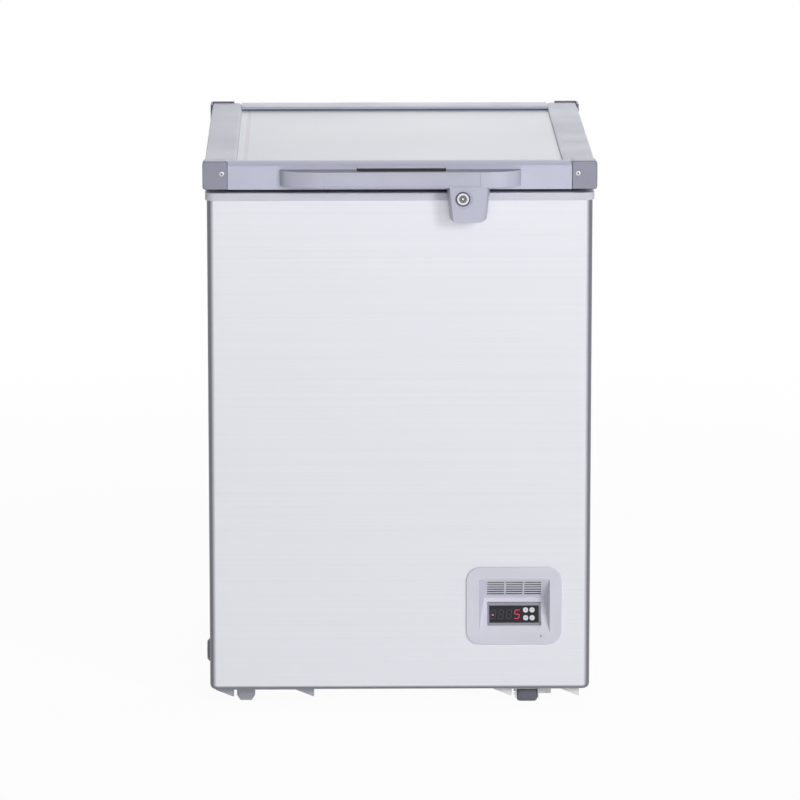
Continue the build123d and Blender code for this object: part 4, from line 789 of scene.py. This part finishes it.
# Gasket: an extruded rubber profile with a flat foot and a bellows, welded at the corners.
# The section is carried round a rounded rectangle: place = path - outward * depth, at its own height.
gasket_corner = 42.0 * mm
gasket_low, gasket_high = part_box("gasket")
section = np.array([(0.0, 0.0), (36.0, 0.0), (36.0, 1.1), (29.0, 1.3), (22.0, 1.6), (20.6, 2.5), (21.9, 3.4),
                    (21.6, 4.4), (20.2, 5.1), (18.4, 5.4), (6.2, 5.4), (4.4, 5.1), (3.1, 4.4), (2.8, 3.4),
                    (4.1, 2.5), (2.6, 1.5), (0.0, 1.1)]) * mm


def rounded_path(low, high, radius, steps=8):
    """Points and outward directions round a rectangle with arcs at its corners."""
    turn = (np.arange(4)[:, None] + np.linspace(0, 1, steps)[None, :]).ravel() * math.pi / 2
    corner = np.repeat(np.array([(1, 1), (-1, 1), (-1, -1), (1, -1)]), steps, axis=0)
    middle = (np.array(low) + high) / 2
    half = (np.array(high) - low) / 2 - radius
    outward = np.stack([np.cos(turn), np.sin(turn)], 1)
    return middle + corner * half + radius * outward, outward


def carried_section(outline, path, outward, top):
    """Grid of points: path (i) less outward (i) times the section's depth (j), at top less its drop (j)."""
    plan = path[:, None, :] - outward[:, None, :] * outline[None, :, :1]
    height = np.broadcast_to(top - outline[:, 1], plan.shape[:2])
    grid = np.concatenate([plan, height[..., None]], -1)
    index = np.arange(grid.shape[0] * grid.shape[1]).reshape(grid.shape[:2])
    ahead, beside = np.roll(index, -1, 0), np.roll(index, -1, 1)
    faces = np.stack([index, ahead, np.roll(ahead, -1, 1), beside], -1).reshape(-1, 4)
    return grid.reshape(-1, 3), faces


gasket_path, gasket_out = rounded_path((gasket_low.x, gasket_low.y), (gasket_high.x, gasket_high.y),
                                       gasket_corner)
gasket_grid, gasket_faces = carried_section(section, gasket_path, gasket_out, gasket_high.z)
gasket_rubber = moulded("gasket_rubber", rubber_and_shadow_colour, rough=0.55, scale=700.0, depth=0.04 * mm)
bellows = new_piece("gasket_bellows", gasket_grid, gasket_faces, gasket_rubber, "lid", True)
bellows.data.set_sharp_from_angle(angle=math.radians(50))
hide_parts("gasket")

# Handle and lock housing: one family of thin silver mouldings, screwed to the front rail from inside.
# Their plastic is a little darker than the rails', and the handle's upper face is painted much darker:
# painted shade.
# A black sheet laid on the rail behind the grip is painted shadow in the gap behind the bar.
handle_colour = (0.475, 0.485, 0.59)
handle_upper_shade = 0.34
grip_shadow_colour = (0.02, 0.02, 0.026)
grip_shadow_reach = (-61.6 * mm, 65.7 * mm)
grip_shadow_drop = 20.0 * mm
grip_shadow_rise = 1.4 * mm
grip_shadow_curl = 1.6 * mm


def handle_moulding():
    """The rails' plastic, a little darker, with painted shade that makes faces that look up much darker."""
    material, tree, shader = open_finish("handle_plastic", rough=0.36, metal=0.25)
    fine = grain(tree, rail_grain, 1.0)
    flow = grain(tree, flow_marks, 4.0)
    # Painted shade on the faces that look up.
    upper_shade = between(tree, facing(tree, 2), 0.0, 1.0, 0.5, 0.9)
    tone = shaded(tree, mottled(tree, handle_colour, fine, flow), tinted(handle_colour, handle_upper_shade), upper_shade)
    close_finish(tree, shader, tone, between(tree, flow, 0.3, 0.42), fine, rail_relief,
                 soft_edges(tree, 0.8 * mm))
    return material


dress(["handle"], handle_moulding())
dress(["lock_housing"], silver_rail("housing_plastic", tinted(handle_colour, 1.03), rough=0.34))
handle_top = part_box("handle")[1].z
# Painted shadow: a black sheet on the rail's front behind the grip.
grip_shadow = [(grip_shadow_reach[0], handle_top - grip_shadow_drop), (grip_shadow_reach[1], handle_top - grip_shadow_drop),
       (grip_shadow_reach[1], handle_top + grip_shadow_rise + grip_shadow_curl), (grip_shadow_reach[1] - grip_shadow_curl, handle_top + grip_shadow_rise),
       (grip_shadow_reach[0] + grip_shadow_curl, handle_top + grip_shadow_rise), (grip_shadow_reach[0], handle_top + grip_shadow_rise + grip_shadow_curl)]
grip_shadow_paint = moulded("grip_shadow_paint", grip_shadow_colour, rough=0.6, scale=900.0, depth=0.03 * mm)
printed("grip_shadow_sheet", [np.array(grip_shadow)], print_lift, grip_shadow_paint, "lid",
        on_front(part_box("lid_rail_front")[0].y))

# Lock: a plated barrel and a turning plug with a slot for a flat key, and a steel cam behind.
# Barrel and plug each have one dark ring, given by where it begins and ends and by how dark it is.
# The keeper under it is folded from the same plated steel and screwed to the cabinet.
lock_axis = (89.4 * mm, 759.3 * mm)
lock_silver = (0.8, 0.81, 0.84)
lock_stain = (0.5, 0.5, 0.54)
lock_dark = (0.12, 0.12, 0.14)
ring_edge = 0.1 * mm
barrel_ring = (8.3 * mm, 12.0 * mm, 1.0)
plug_ring = (1.3 * mm, 5.7 * mm, 0.9)


def ringed_metal(name, near, far, amount):
    """Bright plate, darkened by an amount in a ring from near to far about the lock's axis."""
    material, tree, shader = open_finish(name, rough=0.2, metal=1.0)
    offset = reckon_vector(tree, "SUBTRACT", place_in(tree), (lock_axis[0], 0.0, lock_axis[1]))
    reach = reckon_vector(tree, "LENGTH", reckon_vector(tree, "MULTIPLY", offset, (1.0, 0.0, 1.0)))
    lines = grain(tree, 900.0, 2.0)
    tone = shaded(tree, lock_silver, tinted(lock_silver, 0.8), between(tree, lines))
    ring = product(tree, inside(tree, reach, (near, far), ring_edge), amount)
    tone = shaded(tree, tone, lock_dark, ring)
    close_finish(tree, shader, tone, between(tree, lines, 0.14, 0.3), lines, 0.01 * mm,
                 soft_edges(tree, 0.4 * mm))
    return material


dress(["lock_barrel"], ringed_metal("barrel_plate", *barrel_ring))
dress(["lock_plug"], ringed_metal("plug_plate", *plug_ring))
dress(["lock_cam", "keeper"],
      drawn_metal("lock_bright", lock_silver, lock_stain, rough=0.18, stretch=900.0, scale=90.0))

# Hinges: folded plated leaves, rolled round steel pins, one near each end of the lid's rear rail.
# Zinc plate over pressed steel keeps faint rolling lines and a few darker handling marks.
dress(["hinge_bases", "hinge_leaves", "hinge_pins"], plated)

# Studio: a white floor that runs out to white, broad soft lamps high on the right and in front,
# and a dim sky that is darker to both sides, so that bent steel edges read as dark lines.
# Each lamp is given as its place, its width in metres and its power, and aims at the cabinet's middle.
floor_size = 40.0
floor_near = (0.93, 0.93, 0.94)
floor_speck = (0.9, 0.9, 0.91)
floor_fade = (0.95, 1.0)
floor_clear = 1.1
floor_white = 2.6
plain_white = (1.0, 1.0, 1.0, 1.0)
lamp_aim = np.array((0.0, 0.0, 0.4))
lamp_plan = {
    "key": ((2.9, -4.9, 2.3), 1.6, 133.0),
    "fill": ((0.5, -6.4, 1.6), 2.0, 34.0),
    "top": ((0.6, 0.4, 4.2), 2.4, 16.0),
    "back": ((0.6, 4.6, 0.9), 3.0, 18.0),
}
sky_front = 0.62
sky_side = 0.12
sky_above = 0.55


def shown_rays(tree):
    """One for rays that show the background as it is: straight, mirrored or through a clear thing."""
    rays = add(tree, "ShaderNodeLightPath").outputs
    shown = rays["Is Camera Ray"]
    for kind in ("Is Glossy Ray", "Is Transmission Ray"):
        shown = reckon(tree, "MAXIMUM", shown, rays[kind])
    return shown


def white_floor():
    """Plain matt white near the object, fading to pure white by the distance from it."""
    material, tree, shader = open_finish("white_floor", rough=0.85)
    reach = reckon_vector(tree, "LENGTH", place_in(tree))
    tone = shaded(tree, floor_near, floor_speck, between(tree, grain(tree, 3.0)))
    tree.links.new(tone, shader.inputs["Base Color"])
    light = add(tree, "ShaderNodeEmission", {"Color": plain_white, "Strength": 1.0})
    amount = product(tree, shown_rays(tree), between(tree, reach, *floor_fade, floor_clear, floor_white))
    mix = add(tree, "ShaderNodeMixShader", {0: amount, 1: shader.outputs[0], 2: light.outputs[0]})
    output = [node for node in tree.nodes if node.type == "OUTPUT_MATERIAL"][0]
    tree.links.new(mix.outputs[0], output.inputs["Surface"])
    return material


half_floor = floor_size / 2
floor_corners = [(x * half_floor, y * half_floor, 0) for x, y in ((-1, -1), (1, -1), (1, 1), (-1, 1))]
floor_mesh = bpy.data.meshes.new("floor")
floor_mesh.from_pydata(floor_corners, [], [(0, 1, 2, 3)])
floor_mesh.materials.append(white_floor())
floor = bpy.data.objects.new("floor", floor_mesh)
bpy.context.scene.collection.objects.link(floor)

for name, (place, size, power) in lamp_plan.items():
    lamp = bpy.data.lights.new(name, "AREA")
    lamp.shape = "DISK"
    lamp.size = size
    lamp.energy = power
    holder = bpy.data.objects.new(name, lamp)
    holder.location = place
    aim = lamp_aim - place
    holder.rotation_euler = (math.atan2(math.hypot(aim[0], aim[1]), -aim[2]), 0.0,
                             math.atan2(-aim[0], aim[1]))
    bpy.context.scene.collection.objects.link(holder)

scene = bpy.context.scene
scene.world = bpy.data.worlds.new("studio")
scene.world.use_nodes = True
sky = scene.world.node_tree
sky.nodes.clear()
direction = axes_of(sky, add(sky, "ShaderNodeTexCoord").outputs["Generated"])
level = between(sky, reckon(sky, "ABSOLUTE", direction[0]), sky_front, sky_side, 0.25, 0.75)
level = product(sky, level, between(sky, direction[2], 1.0, sky_above, 0.3, 0.8))
dim = add(sky, "ShaderNodeBackground", {"Color": plain_white, "Strength": level})
white = add(sky, "ShaderNodeBackground", {"Color": plain_white, "Strength": 1.0})
backdrop = add(sky, "ShaderNodeMixShader", {0: shown_rays(sky), 1: dim.outputs[0], 2: white.outputs[0]})
add(sky, "ShaderNodeOutputWorld", {"Surface": backdrop.outputs[0]})

# Camera: a long lens about seven and a half metres away, a little above the lid.
# It looks slightly down, and nearly square at the front.
camera_place = (-0.106, -7.6975, 1.968)
camera_down = math.radians(11.49)
camera_turn = math.radians(-0.82)
camera = bpy.data.objects.new("camera", bpy.data.cameras.new("camera"))
camera.location = camera_place
camera.rotation_euler = (math.pi / 2 - camera_down, 0.0, camera_turn)
camera.data.lens = 236.25
camera.data.sensor_width = 36.0
camera.data.clip_end = 100.0
bpy.context.scene.collection.objects.link(camera)
scene.camera = camera
scene.view_settings.view_transform = "Standard"
